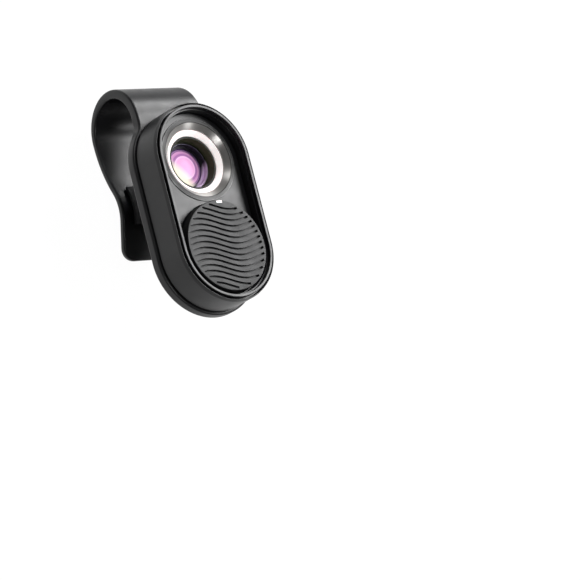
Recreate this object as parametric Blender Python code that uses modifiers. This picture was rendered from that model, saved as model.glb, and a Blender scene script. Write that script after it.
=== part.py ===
# Clip-on phone microscope, modelled in metres with the lens looking up along +Z.
# It lies on the back of its clip. +Y runs along the body from the button to the clip's loop.
import math

import bmesh
import bpy
from mathutils import Matrix, Vector

MM = 0.001

# Body outline: two half circles joined by straight sides
HOUSING_R = 11.0 * MM
WALL = 1.2 * MM
PLATE_MARGIN = 0.55 * MM
PLATE_T = 2.15 * MM
AXES_SPARE = 0.6 * MM

# Depths below the button's top face
LIP_RISE = 0.2 * MM
HOUSING_FRONT = 0.1 * MM
DECK_FRONT = 2.3 * MM
DECK_T = 1.2 * MM
PLATE_FRONT = 7.0 * MM
SEAM = 0.3 * MM
STEP_W = 0.8 * MM
SEAT = 0.1 * MM

# Front bezel
LIP_W = 0.6 * MM
LIP_GROOVE = 0.35 * MM
RIM_WALL = 0.3 * MM
LEDGE_DEPTH = 0.7 * MM
LEDGE_W = 0.25 * MM
BEZEL_FOOT_DEPTH = 1.2 * MM

# Lens group, radii from the lens axis
REFLECTOR_SPARE = 1.1 * MM
REFLECTOR_CREST = 0.75 * MM
REFLECTOR_CREST_W = 0.25 * MM
REFLECTOR_RISE = 0.4 * MM
REFLECTOR_SPIGOT_R = 7.2 * MM
REFLECTOR_SPIGOT = 1.0 * MM
REFLECTOR_FILLET = 0.1 * MM
GUIDE_R = 6.4 * MM
GUIDE_MOUTH_R = 5.35 * MM
GUIDE_FLANGE_R = 7.1 * MM
GUIDE_FLANGE_T = 0.7 * MM
DISH_ANGLE = math.radians(40.0)
BARREL_WALL = 0.3 * MM
BARREL_STEP_R = 4.45 * MM
BARREL_STEP_DEPTH = 5.8 * MM
BARREL_FLANGE_R = 6.2 * MM
APERTURE_R = 3.95 * MM
APERTURE_DEPTH = 6.7 * MM
APERTURE_T = 0.3 * MM
LENS_R = 4.35 * MM
LENS_EDGE_T = 0.35 * MM
LENS_SAG = 0.65 * MM
SPACER_T = 0.35 * MM
REAR_LENS_T = 0.4 * MM
REAR_LENS_SAG = 0.3 * MM
LENS_RING_T = 0.5 * MM
LENS_RING_R = 3.7 * MM
SPANNER_W = 0.8 * MM

# Button
BUTTON_SPARE = 0.5 * MM
BUTTON_GAP = 0.25 * MM
BUTTON_CAP_T = 1.2 * MM
BUTTON_SKIRT_T = 1.0 * MM
BUTTON_TRAVEL = 0.5 * MM
BUTTON_EDGE = 0.12 * MM
TAB_ANGLES = (30.0, 150.0, 270.0)
TAB_REACH = 0.35 * MM
TAB_W = 2.4 * MM
TAB_T = 0.6 * MM
PUSHER_R = 2.0 * MM
WAVE_COUNT = 15
WAVE_PITCH = 1.15 * MM
WAVE_HEIGHT = 0.95 * MM
WAVE_LENGTH = 17.0 * MM
WAVE_CREST_X = -5.3 * MM
WAVE_WIDTH = 0.38 * MM
WAVE_DEPTH = 0.35 * MM
WAVE_MARGIN = 0.45 * MM
WAVE_STEP = 1.1 * MM
PIPE_W = 1.3 * MM
PIPE_T = 0.4 * MM
PIPE_X = 0.7 * MM
PIPE_EDGE = 0.1 * MM

# Circuit board and what is on it
BOARD_DEPTH = 5.1 * MM
BOARD_T = 0.6 * MM
LED_COUNT = 6
LED_RING_R = 6.5 * MM
LED_W = 1.6 * MM
LED_D = 0.9 * MM
LED_T = 0.55 * MM
SOLDER_GAP = 0.05 * MM
CHIP_SIDE = 3.0 * MM
CHIP_T = 0.7 * MM
CHIP_X = -5.5 * MM
SWITCH_SIDE = 6.0 * MM
SWITCH_T = 1.15 * MM
SWITCH_FLOOR = 0.2 * MM
PLUNGER_R = 1.5 * MM
PLUNGER_GAP = 0.15 * MM

# Charging socket in the right-hand wall
SOCKET_W = 7.4 * MM
SOCKET_T = 2.4 * MM
SOCKET_L = 5.1 * MM
SOCKET_WALL = 0.3 * MM
SOCKET_Y = 1.5 * MM
TONGUE_T = 0.6 * MM
TONGUE_L = 3.4 * MM

# Battery in its pocket of the back plate
BATTERY_W = 10.4 * MM
BATTERY_L = 10.4 * MM
BATTERY_T = 1.75 * MM
BATTERY_SHIFT = 0.6 * MM
POCKET_DEPTH = 1.0 * MM
TAPE_T = 0.2 * MM
LEAD_R = 0.25 * MM
LEAD_X = 1.2 * MM
LEAD_RUN = 1.6 * MM

# Screws
SCREW_R = 0.55 * MM
SCREW_HEAD_R = 1.1 * MM
SCREW_HEAD_T = 0.6 * MM
SCREW_FIT = 0.1 * MM
SCREW_SUNK = 0.05 * MM
SCREW_SLOT = 0.28 * MM
BOSS_R = 1.3 * MM
BOSS_INTO_WALL = 0.15 * MM
LOW_BOSS_DEPTH = 4.9 * MM
PILOT_END = 5.2 * MM

# Strap and leg of the clip
STRAP_W = 15.9 * MM
STRAP_FILLET = 3.0 * MM
STRAP_LEAD = 1.3 * MM
LOOP_R = 7.95 * MM
LEG_T = 1.35 * MM
LEG_R = 27.0 * MM
LEG_CONVERGE = math.radians(24.0)
NIP_R = 7.5 * MM
LEG_FLARE = math.radians(20.0)
TIP_CORNER = 2.6 * MM
CLIP_EDGE = 0.45 * MM

# Soft pads
PAD_T = 0.6 * MM
PAD_PROUD = 0.15 * MM
PAD_RING_IN = 5.9 * MM
PAD_RING_OUT = 7.3 * MM
CLIP_PAD_W = 11.0 * MM
CLIP_PAD_L = 6.5 * MM

ARC_STEPS = 24
TURN_STEPS = 40
SMALL_STEPS = 20
CUT_PAST = 1.0 * MM

PLATE_R = HOUSING_R + PLATE_MARGIN
CAVITY_R = HOUSING_R - WALL
BEZEL_FOOT_R = HOUSING_R - RIM_WALL - SEAT
LIP_R = HOUSING_R - RIM_WALL - LIP_GROOVE
LEDGE_R = LIP_R - LIP_W - LEDGE_W
BUTTON_R = LEDGE_R - BUTTON_SPARE
REFLECTOR_R = LEDGE_R - REFLECTOR_SPARE
REFLECTOR_CREST_R = REFLECTOR_R - REFLECTOR_CREST
SCREW_RING = CAVITY_R - BOSS_R + BOSS_INTO_WALL
CENTRES = BUTTON_R + REFLECTOR_R + AXES_SPARE
BUTTON_Y = -CENTRES / 2
LENS_Y = CENTRES / 2
HOUSING_BACK = PLATE_FRONT - SEAM
DECK_BACK = DECK_FRONT + DECK_T
PLATE_BACK = PLATE_FRONT + PLATE_T
BARREL_R = GUIDE_MOUTH_R - SEAT
LENS_HOLE_R = REFLECTOR_SPIGOT_R + REFLECTOR_FILLET + SOLDER_GAP
FILLET_Y = math.sqrt((PLATE_R + STRAP_FILLET) ** 2 - (STRAP_W / 2 + STRAP_FILLET) ** 2)
LOOP_Y = LENS_Y + FILLET_Y + STRAP_LEAD
LOOP_BACK = PLATE_FRONT + 2 * LOOP_R
BODY_LOW = BUTTON_Y - PLATE_R
BODY_HIGH = LOOP_Y + LOOP_R
SCREW_PLACES = [
    (LENS_Y, math.radians(45.0)),
    (LENS_Y, math.radians(135.0)),
    (BUTTON_Y, math.radians(225.0)),
    (BUTTON_Y, math.radians(315.0)),
]


def clear_scene():
    for item in list(bpy.data.objects):
        bpy.data.objects.remove(item, do_unlink=True)


def make_collection(name):
    group = bpy.data.collections.new(name)
    bpy.context.scene.collection.children.link(group)
    return group


def make_material(name, colour, roughness, metallic=0.0, alpha=1.0):
    material = bpy.data.materials.new(name)
    material.use_nodes = True
    shader = material.node_tree.nodes["Principled BSDF"]
    shader.inputs["Base Color"].default_value = (*colour, 1.0)
    shader.inputs["Roughness"].default_value = roughness
    shader.inputs["Metallic"].default_value = metallic
    shader.inputs["Alpha"].default_value = alpha
    return material


clear_scene()
PARTS = make_collection("clip_on_phone_microscope")
CUTTERS = make_collection("cutters")

BLACK = make_material("black_abs", (0.03, 0.03, 0.032), 0.45)
SATIN = make_material("satin_black_abs", (0.10, 0.10, 0.105), 0.4)
METAL = make_material("turned_aluminium", (0.45, 0.45, 0.46), 0.3, metallic=1.0)
DARK_METAL = make_material("black_anodised_aluminium", (0.02, 0.019, 0.016), 0.4, metallic=0.6)
WHITE = make_material("opal_acrylic", (0.9, 0.86, 0.86), 0.35)
GLASS = make_material("coated_glass", (0.9, 0.6, 0.85), 0.05, alpha=0.4)
SILICONE = make_material("black_silicone", (0.025, 0.025, 0.027), 0.8)
BOARD = make_material("solder_mask", (0.01, 0.06, 0.03), 0.4)
STEEL = make_material("screw_steel", (0.5, 0.5, 0.5), 0.3, metallic=1.0)
FOIL = make_material("battery_foil", (0.55, 0.56, 0.58), 0.35, metallic=0.8)
TAPE = make_material("foam_tape", (0.75, 0.75, 0.72), 0.9)
RED = make_material("red_lead", (0.5, 0.02, 0.02), 0.5)
LED_WHITE = make_material("led_package", (0.85, 0.82, 0.6), 0.3)

# Everything hangs on this empty, which lifts the clip's back to the ground and centres the part on it
FRAME = bpy.data.objects.new("microscope_frame", None)
FRAME.location = (0.0, -(BODY_LOW + BODY_HIGH) / 2, LOOP_BACK)
PARTS.objects.link(FRAME)


def add_object(name, mesh, material):
    item = bpy.data.objects.new(name, mesh)
    item.parent = FRAME
    mesh.materials.clear()
    mesh.materials.append(material)
    PARTS.objects.link(item)
    return item


def as_cutter(item):
    PARTS.objects.unlink(item)
    CUTTERS.objects.link(item)
    item.hide_render = True
    item.display_type = "WIRE"
    return item


def apply_boolean(item, other, operation):
    step = item.modifiers.new(operation.lower() + "_" + other.name, "BOOLEAN")
    step.operation = operation
    step.object = as_cutter(other)


def cut(item, *others):
    for other in others:
        apply_boolean(item, other, "DIFFERENCE")


def join(item, *others):
    for other in others:
        apply_boolean(item, other, "UNION")


def soften(item, width, segments=1, angle=50.0):
    step = item.modifiers.new("edges", "BEVEL")
    step.width = width
    step.segments = segments
    step.limit_method = "ANGLE"
    step.angle_limit = math.radians(angle)


def shade(item, angle=35.0):
    item.data.shade_smooth()
    item.data.set_sharp_from_angle(angle=math.radians(angle))


def arc(centre, radius, start, end, steps):
    points = []
    for k in range(steps + 1):
        turn = start + (end - start) * k / steps
        points.append((centre[0] + radius * math.cos(turn), centre[1] + radius * math.sin(turn)))
    return points


def circle(centre, radius, steps=TURN_STEPS):
    return arc(centre, radius, 0.0, math.tau, steps)[:-1]


def racetrack(radius):
    upper = arc((0.0, LENS_Y), radius, 0.0, math.pi, ARC_STEPS)
    lower = arc((0.0, BUTTON_Y), radius, math.pi, math.tau, ARC_STEPS)
    return upper + lower


def rectangle(x_low, x_high, y_low, y_high):
    return [(x_low, y_low), (x_high, y_low), (x_high, y_high), (x_low, y_high)]


def flat_solid(name, loops, front, back, material):
    """A flat outline, holes included, filled between two depths."""
    shape = bpy.data.curves.new(name, "CURVE")
    shape.dimensions = "2D"
    shape.fill_mode = "BOTH"
    shape.extrude = (back - front) / 2
    for loop in loops:
        spline = shape.splines.new("POLY")
        spline.points.add(len(loop) - 1)
        spline.use_cyclic_u = True
        for point, (x, y) in zip(spline.points, loop):
            point.co = (x, y, 0.0, 1.0)
    guide = bpy.data.objects.new(name + "_outline", shape)
    bpy.context.scene.collection.objects.link(guide)
    bpy.context.view_layer.update()
    depsgraph = bpy.context.evaluated_depsgraph_get()
    mesh = bpy.data.meshes.new_from_object(guide.evaluated_get(depsgraph))
    bpy.data.objects.remove(guide, do_unlink=True)
    work = bmesh.new()
    work.from_mesh(mesh)
    bmesh.ops.remove_doubles(work, verts=work.verts, dist=0.001 * MM)
    bmesh.ops.dissolve_limit(work, angle_limit=math.radians(0.5), verts=work.verts, edges=work.edges)
    bmesh.ops.recalc_face_normals(work, faces=work.faces)
    bmesh.ops.translate(work, verts=work.verts, vec=(0.0, 0.0, -(front + back) / 2))
    work.to_mesh(mesh)
    work.free()
    mesh.name = name
    return add_object(name, mesh, material)


def turned(name, profile, place, material, steps=TURN_STEPS, closed=True):
    """A turned piece: profile holds (radius, depth) pairs, outer side from front to back."""
    mesh = bpy.data.meshes.new(name)
    points = [(radius, 0.0, -depth) for radius, depth in profile]
    edges = [(k, k + 1) for k in range(len(points) - 1)]
    if closed:
        edges.append((len(points) - 1, 0))
    mesh.from_pydata(points, edges, [])
    item = add_object(name, mesh, material)
    item.location = (place[0], place[1], 0.0)
    spin = item.modifiers.new("turn", "SCREW")
    spin.steps = steps
    spin.render_steps = steps
    spin.use_merge_vertices = True
    spin.merge_threshold = 0.001 * MM
    return item


def racetrack_ring(name, profile, material):
    """A ring that follows the body outline, swept over one half and mirrored."""
    work = bmesh.new()
    points = [work.verts.new((radius, 0.0, -depth)) for radius, depth in profile]
    edges = [work.edges.new((points[k], points[(k + 1) % len(points)])) for k in range(len(points))]
    straight = bmesh.ops.extrude_edge_only(work, edges=edges)
    moved = [piece for piece in straight["geom"] if isinstance(piece, bmesh.types.BMVert)]
    bmesh.ops.translate(work, verts=moved, vec=(0.0, LENS_Y, 0.0))
    ends = [piece for piece in straight["geom"] if isinstance(piece, bmesh.types.BMEdge)]
    swept = bmesh.ops.spin(
        work, geom=moved + ends, cent=(0.0, LENS_Y, 0.0), axis=(0.0, 0.0, 1.0), angle=math.pi, steps=ARC_STEPS
    )
    ends = [piece for piece in swept["geom_last"] if isinstance(piece, bmesh.types.BMEdge)]
    straight = bmesh.ops.extrude_edge_only(work, edges=ends)
    moved = [piece for piece in straight["geom"] if isinstance(piece, bmesh.types.BMVert)]
    bmesh.ops.translate(work, verts=moved, vec=(0.0, -LENS_Y, 0.0))
    bmesh.ops.recalc_face_normals(work, faces=work.faces)
    mesh = bpy.data.meshes.new(name)
    work.to_mesh(mesh)
    work.free()
    item = add_object(name, mesh, material)
    half = item.modifiers.new("other_half", "MIRROR")
    half.use_axis = (False, True, False)
    half.merge_threshold = 0.001 * MM
    return item


def block(name, low, high, material):
    """A box between two corners, each written as x, y and depth."""
    size = [abs(b - a) for a, b in zip(low, high)]
    middle = [(a + b) / 2 for a, b in zip(low, high)]
    work = bmesh.new()
    bmesh.ops.create_cube(work, size=1.0)
    bmesh.ops.scale(work, verts=work.verts, vec=size)
    bmesh.ops.translate(work, verts=work.verts, vec=(middle[0], middle[1], -middle[2]))
    mesh = bpy.data.meshes.new(name)
    work.to_mesh(mesh)
    work.free()
    return add_object(name, mesh, material)


def cylinder(name, place, radius, front, back, material=BLACK, steps=SMALL_STEPS):
    return flat_solid(name, [circle(place, radius, steps)], front, back, material)


def screw_place(centre_y, angle):
    return (SCREW_RING * math.cos(angle), centre_y + SCREW_RING * math.sin(angle))


# Path of the clip's outer surface, seen from the side, as y, z and heading against the distance run
TIP_LIFT = CLIP_EDGE * (math.sin(LEG_FLARE) + math.cos(LEG_FLARE) - 1)
LEG_RISE = (LEG_R + NIP_R) * (1 - math.cos(LEG_CONVERGE))
FLARE_DROP = NIP_R * (1 - math.cos(LEG_FLARE))
CLIP_RUNS = [
    (LOOP_Y - BODY_LOW, 0.0),
    (LOOP_R * math.pi, -math.pi),
    (LEG_R * LEG_CONVERGE, -LEG_CONVERGE),
    (NIP_R * (LEG_CONVERGE + LEG_FLARE), LEG_CONVERGE + LEG_FLARE),
    ((LEG_RISE - FLARE_DROP + TIP_LIFT) / math.sin(LEG_FLARE), 0.0),
]
CLIP_LENGTH = sum(run for run, turn in CLIP_RUNS)
LEG_START = CLIP_RUNS[0][0] + CLIP_RUNS[1][0]
NIP_START = LEG_START + CLIP_RUNS[2][0]
FLARE_START = NIP_START + CLIP_RUNS[3][0]


def clip_point(distance):
    y, z, heading = BODY_LOW, -PLATE_FRONT, 0.0
    for run, turn in CLIP_RUNS:
        part = min(distance, run)
        if turn:
            radius = run / turn
            bend = turn * part / run
            y += radius * (math.sin(heading + bend) - math.sin(heading))
            z -= radius * (math.cos(heading + bend) - math.cos(heading))
            heading += bend
        else:
            y += part * math.cos(heading)
            z += part * math.sin(heading)
        distance -= part
        if distance <= 0.0:
            break
    return y, z, heading


def sheet_point(x, distance, lift):
    """Point of a sheet that follows the clip, lifted towards the phone's side."""
    y, z, heading = clip_point(distance)
    return Vector((x, y + lift * math.sin(heading), z - lift * math.cos(heading)))


def clip_thickness(distance):
    """The plate's thickness, which thins evenly to the leg's round the loop."""
    share = (distance - CLIP_RUNS[0][0]) / CLIP_RUNS[1][0]
    return PLATE_T + (LEG_T - PLATE_T) * min(max(share, 0.0), 1.0)


def spread(start, end, steps):
    return [start + (end - start) * k / steps for k in range(steps)]


def clip_stations():
    """Half width of the clip against distance: plate outline, fillet, strap and rounded tip."""
    half = STRAP_W / 2
    fillet_turn = math.atan2(FILLET_Y, half + STRAP_FILLET)
    outline = arc((0.0, BUTTON_Y), PLATE_R, -math.pi / 2, 0.0, ARC_STEPS // 2)
    outline += arc((0.0, LENS_Y), PLATE_R, 0.0, fillet_turn, ARC_STEPS // 3)
    fillet_centre = (half + STRAP_FILLET, LENS_Y + FILLET_Y)
    outline += arc(fillet_centre, STRAP_FILLET, math.pi + fillet_turn, math.pi, 6)[1:]
    stations = [(y - BODY_LOW, x) for x, y in outline]
    distances = spread(CLIP_RUNS[0][0], LEG_START, 22) + spread(LEG_START, NIP_START, 6)
    distances += spread(NIP_START, FLARE_START, 10) + [FLARE_START]
    stations += [(distance, half) for distance in distances]
    for along, side in arc((CLIP_LENGTH - TIP_CORNER, half - TIP_CORNER), TIP_CORNER, math.pi / 2, 0.0, 6):
        stations.append((along, side))
    return stations


def follow_sheet(name, stations, material):
    """A strip along the clip's path. Each station holds distance, half width and the two lifts of its faces."""
    work = bmesh.new()
    rows = []
    for distance, half, outer, inner in stations:
        corners = ((-half, outer), (half, outer), (half, inner), (-half, inner))
        rows.append([work.verts.new(sheet_point(x, distance, lift)) for x, lift in corners])
    for before, after in zip(rows, rows[1:]):
        for k in range(4):
            work.faces.new((before[k - 1], before[k], after[k], after[k - 1]))
    work.faces.new(rows[0])
    work.faces.new(rows[-1])
    bmesh.ops.remove_doubles(work, verts=work.verts, dist=0.001 * MM)
    bmesh.ops.dissolve_degenerate(work, edges=work.edges, dist=0.001 * MM)
    bmesh.ops.recalc_face_normals(work, faces=work.faces)
    bmesh.ops.dissolve_limit(work, angle_limit=math.radians(0.5), verts=work.verts, edges=work.edges)
    mesh = bpy.data.meshes.new(name)
    work.to_mesh(mesh)
    work.free()
    return add_object(name, mesh, material)


def battery_box(spare):
    middle = BUTTON_Y + BATTERY_SHIFT
    half_w = BATTERY_W / 2 + spare
    half_l = BATTERY_L / 2 + spare
    return -half_w, half_w, middle - half_l, middle + half_l


def make_clip():
    stations = [(run, half, 0.0, clip_thickness(run)) for run, half in clip_stations()]
    clip = follow_sheet("clip_and_back_plate", stations, BLACK)
    soften(clip, CLIP_EDGE, segments=2)
    past = PLATE_BACK + CUT_PAST
    step = [racetrack(CAVITY_R + STEP_W / 2), racetrack(CAVITY_R - STEP_W / 2)]
    join(clip, flat_solid("seam_step", step, HOUSING_BACK + SEAT, PLATE_FRONT + PLATE_T / 2, BLACK))
    barrel_r = BARREL_R + SEAT
    cut(clip, cylinder("barrel_hole", (0.0, LENS_Y), barrel_r, PLATE_FRONT - CUT_PAST, past, steps=TURN_STEPS))
    x_low, x_high, y_low, y_high = battery_box(SEAM)
    low = (x_low, y_low, PLATE_FRONT - CUT_PAST)
    high = (x_high, y_high, PLATE_FRONT + POCKET_DEPTH)
    cut(clip, block("battery_pocket", low, high, BLACK))
    inner = circle((0.0, LENS_Y), PAD_RING_IN - SEAT)
    outer = circle((0.0, LENS_Y), PAD_RING_OUT + SEAT)
    recess = PLATE_BACK + PAD_PROUD - PAD_T - SEAT
    cut(clip, flat_solid("pad_recess", [outer, inner], recess, past, BLACK))
    for k, (centre_y, angle) in enumerate(SCREW_PLACES, start=1):
        place = screw_place(centre_y, angle)
        shank = SCREW_R + SCREW_FIT
        head = SCREW_HEAD_R + SCREW_FIT
        seat = PLATE_BACK - SCREW_SUNK - SCREW_HEAD_T - SCREW_FIT
        profile = [
            (0.0, PLATE_FRONT - CUT_PAST), (shank, PLATE_FRONT - CUT_PAST), (shank, seat),
            (head, PLATE_BACK - SCREW_SUNK), (head, past), (0.0, past),
        ]
        cut(clip, turned(f"screw_seat_{k}", profile, place, BLACK, SMALL_STEPS, closed=False))
    shade(clip)
    return clip


def make_pads():
    front = PLATE_BACK + PAD_PROUD - PAD_T
    ring = [(PAD_RING_OUT, front), (PAD_RING_OUT, front + PAD_T), (PAD_RING_IN, front + PAD_T), (PAD_RING_IN, front)]
    turned("phone_pad_ring", ring, (0.0, LENS_Y), SILICONE)
    start = NIP_START + NIP_R * LEG_CONVERGE - CLIP_PAD_L / 2
    seat = LEG_T + SEAT
    stations = [(start + CLIP_PAD_L * k / 10, CLIP_PAD_W / 2, seat, seat + PAD_T) for k in range(11)]
    pad = follow_sheet("clip_pad", stations, SILICONE)
    shade(pad)


def make_housing():
    housing = flat_solid("main_housing", [racetrack(HOUSING_R)], HOUSING_FRONT, HOUSING_BACK, BLACK)
    soften(housing, RIM_WALL / 2)
    pocket_r = HOUSING_R - RIM_WALL
    back = HOUSING_BACK + CUT_PAST
    cut(housing, flat_solid("bezel_pocket", [racetrack(pocket_r)], HOUSING_FRONT - CUT_PAST, DECK_FRONT, BLACK))
    cut(housing, flat_solid("cavity", [racetrack(CAVITY_R)], DECK_BACK, back, BLACK))
    hole_r = BUTTON_R + BUTTON_GAP
    cut(housing, cylinder("button_hole", (0.0, BUTTON_Y), hole_r, 0.0, back, steps=2 * ARC_STEPS))
    cut(housing, cylinder("lens_hole", (0.0, LENS_Y), LENS_HOLE_R, 0.0, back, steps=TURN_STEPS))
    for k, (centre_y, angle) in enumerate(SCREW_PLACES, start=1):
        top = DECK_FRONT + DECK_T / 2 if centre_y > 0.0 else LOW_BOSS_DEPTH
        join(housing, cylinder(f"boss_{k}", screw_place(centre_y, angle), BOSS_R, top, HOUSING_BACK))
    for k, (centre_y, angle) in enumerate(SCREW_PLACES, start=1):
        place = screw_place(centre_y, angle)
        cut(housing, cylinder(f"pilot_{k}", place, SCREW_R + SCREW_FIT, PILOT_END, back))
    half = SOCKET_W / 2 + SEAT
    low = (HOUSING_R - 2 * WALL, SOCKET_Y - half, HOUSING_BACK - SOCKET_T - SEAT)
    high = (HOUSING_R + CUT_PAST, SOCKET_Y + half, back)
    cut(housing, block("socket_port", low, high, BLACK))
    shade(housing)


def make_bezel():
    lip_in = LIP_R - LIP_W
    profile = [
        (lip_in, -LIP_RISE), (LIP_R, -LIP_RISE), (LIP_R, BEZEL_FOOT_DEPTH), (BEZEL_FOOT_R, BEZEL_FOOT_DEPTH),
        (BEZEL_FOOT_R, DECK_FRONT - SEAT), (LEDGE_R, DECK_FRONT - SEAT), (LEDGE_R, LEDGE_DEPTH), (lip_in, LEDGE_DEPTH),
    ]
    bezel = racetrack_ring("front_bezel", profile, SATIN)
    soften(bezel, LIP_W / 8, angle=60.0)
    shade(bezel)


# Dish of the reflector and the light guide, one cone that falls towards the lens
CREST_DEPTH = DECK_FRONT - REFLECTOR_RISE


def dish_depth(radius):
    return CREST_DEPTH + (REFLECTOR_CREST_R - radius) * math.tan(DISH_ANGLE)


def make_lens_group():
    axis = (0.0, LENS_Y)
    seat = DECK_FRONT - SEAT
    spigot_end = seat + REFLECTOR_SPIGOT
    mouth = GUIDE_R + SEAT / 2
    reflector = [
        (REFLECTOR_CREST_R, CREST_DEPTH), (REFLECTOR_CREST_R + REFLECTOR_CREST_W, CREST_DEPTH), (REFLECTOR_R, seat - SEAT),
        (REFLECTOR_R, seat), (REFLECTOR_SPIGOT_R + REFLECTOR_FILLET, seat),
        (REFLECTOR_SPIGOT_R, seat + REFLECTOR_FILLET), (REFLECTOR_SPIGOT_R, spigot_end),
        (mouth, spigot_end), (mouth, dish_depth(mouth)),
    ]
    shade(turned("reflector_ring", reflector, axis, METAL))
    guide_r = GUIDE_R - SEAT / 2
    flange = spigot_end + SEAT
    guide = [
        (guide_r, dish_depth(guide_r)), (guide_r, flange), (GUIDE_FLANGE_R, flange),
        (GUIDE_FLANGE_R, flange + GUIDE_FLANGE_T), (GUIDE_MOUTH_R, flange + GUIDE_FLANGE_T),
        (GUIDE_MOUTH_R, dish_depth(GUIDE_MOUTH_R)),
    ]
    shade(turned("light_guide_ring", guide, axis, WHITE))
    outer = BARREL_R
    inner = outer - BARREL_WALL
    flange_front = BOARD_DEPTH + BOARD_T + SEAT
    flange_back = PLATE_FRONT - SEAT
    bore = LENS_R + SEAT
    barrel = [
        (inner, dish_depth(GUIDE_MOUTH_R) + SEAT), (outer, dish_depth(GUIDE_MOUTH_R) + SEAT),
        (outer, flange_front), (BARREL_FLANGE_R, flange_front), (BARREL_FLANGE_R, flange_back),
        (outer, flange_back), (outer, PLATE_BACK - SEAT), (bore, PLATE_BACK - SEAT),
        (bore, APERTURE_DEPTH + APERTURE_T), (APERTURE_R, APERTURE_DEPTH + APERTURE_T),
        (APERTURE_R, APERTURE_DEPTH), (BARREL_STEP_R, APERTURE_DEPTH),
        (BARREL_STEP_R, BARREL_STEP_DEPTH), (inner, BARREL_STEP_DEPTH),
    ]
    shade(turned("lens_barrel", barrel, axis, DARK_METAL))
    return axis


def bulge(radius, sag, edge_depth, steps, direction):
    """Half section of a curved lens face, from its axis to its edge."""
    ball = (radius ** 2 + sag ** 2) / (2 * sag)
    points = []
    for k in range(steps + 1):
        r = radius * k / steps
        height = math.sqrt(ball ** 2 - r ** 2) - (ball - sag)
        points.append((r, edge_depth - direction * height))
    return points


def make_optics(axis):
    clear_r = APERTURE_R - SEAT
    front = APERTURE_DEPTH + APERTURE_T + SEAT
    back = front + LENS_EDGE_T
    profile = bulge(clear_r, LENS_SAG, front, 7, 1) + [(LENS_R, front), (LENS_R, back), (0.0, back)]
    shade(turned("front_lens", profile, axis, GLASS, closed=False), 50.0)
    front = back + SOLDER_GAP
    back = front + SPACER_T
    profile = [(LENS_R, front), (LENS_R, back), (clear_r, back), (clear_r, front)]
    shade(turned("lens_spacer", profile, axis, DARK_METAL))
    front = back + SOLDER_GAP
    back = front + REAR_LENS_T
    ring_r = LENS_RING_R - SEAT
    profile = [(0.0, front), (LENS_R, front), (LENS_R, back)]
    profile += list(reversed(bulge(ring_r, REAR_LENS_SAG, back, 5, -1)))
    shade(turned("rear_lens", profile, axis, GLASS, closed=False), 50.0)
    front = back + SOLDER_GAP
    back = front + LENS_RING_T
    profile = [(LENS_R, front), (LENS_R, back), (LENS_RING_R, back), (LENS_RING_R, front)]
    ring = turned("lens_retaining_ring", profile, axis, DARK_METAL)
    for k, side in enumerate((-1, 1), start=1):
        middle = side * (LENS_R + LENS_RING_R) / 2
        low = (middle - (LENS_R - LENS_RING_R), LENS_Y - SPANNER_W / 2, back - LENS_RING_T / 2)
        high = (middle + (LENS_R - LENS_RING_R), LENS_Y + SPANNER_W / 2, back + CUT_PAST)
        cut(ring, block(f"spanner_slot_{k}", low, high, BLACK))
    shade(ring)


def make_board():
    hole = circle((0.0, LENS_Y), GUIDE_MOUTH_R)
    board = flat_solid("circuit_board", [racetrack(CAVITY_R - SEAT), hole], BOARD_DEPTH, BOARD_DEPTH + BOARD_T, BOARD)
    for k, (centre_y, angle) in enumerate(SCREW_PLACES, start=1):
        place = screw_place(centre_y, angle)
        front = BOARD_DEPTH - CUT_PAST
        back = BOARD_DEPTH + BOARD_T + CUT_PAST
        cut(board, cylinder(f"boss_notch_{k}", place, BOSS_R + SEAT, front, back))
    half = SOCKET_W / 2 + SEAT
    low = (HOUSING_R - SOCKET_L - 2 * SEAT, SOCKET_Y - half, BOARD_DEPTH - CUT_PAST)
    high = (HOUSING_R, SOCKET_Y + half, BOARD_DEPTH + BOARD_T + CUT_PAST)
    cut(board, block("socket_notch", low, high, BOARD))
    on_board = BOARD_DEPTH - SOLDER_GAP
    for k in range(LED_COUNT):
        turn = math.tau * k / LED_COUNT
        low = (LED_RING_R - LED_D / 2, -LED_W / 2, on_board - LED_T)
        high = (LED_RING_R + LED_D / 2, LED_W / 2, on_board)
        led = block(f"led_{k + 1}", low, high, LED_WHITE)
        led.location = (0.0, LENS_Y, 0.0)
        led.rotation_euler = (0.0, 0.0, turn)
    chip_y = SOCKET_Y - CHIP_SIDE / 3
    low = (CHIP_X - CHIP_SIDE / 2, chip_y - CHIP_SIDE / 2, on_board - CHIP_T)
    high = (CHIP_X + CHIP_SIDE / 2, chip_y + CHIP_SIDE / 2, on_board)
    block("control_chip", low, high, BLACK)
    pipe_y = BUTTON_Y + BUTTON_R - PIPE_EDGE - PIPE_T / 2
    low = (PIPE_X - LED_W / 2, pipe_y - LED_D / 2, on_board - LED_T)
    high = (PIPE_X + LED_W / 2, pipe_y + LED_D / 2, on_board)
    block("indicator_led", low, high, LED_WHITE)
    body_top = on_board - SWITCH_T
    half = SWITCH_SIDE / 2
    low = (-half, BUTTON_Y - half, body_top)
    high = (half, BUTTON_Y + half, on_board)
    body = block("switch_body", low, high, BLACK)
    bore_r = PLUNGER_R + PLUNGER_GAP
    cut(body, cylinder("plunger_bore", (0.0, BUTTON_Y), bore_r, body_top - CUT_PAST, on_board - SWITCH_FLOOR))
    bottom = on_board - SWITCH_FLOOR - SOLDER_GAP - BUTTON_TRAVEL
    cylinder("switch_plunger", (0.0, BUTTON_Y), PLUNGER_R, pusher_end() + SOLDER_GAP, bottom, SATIN)


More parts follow.
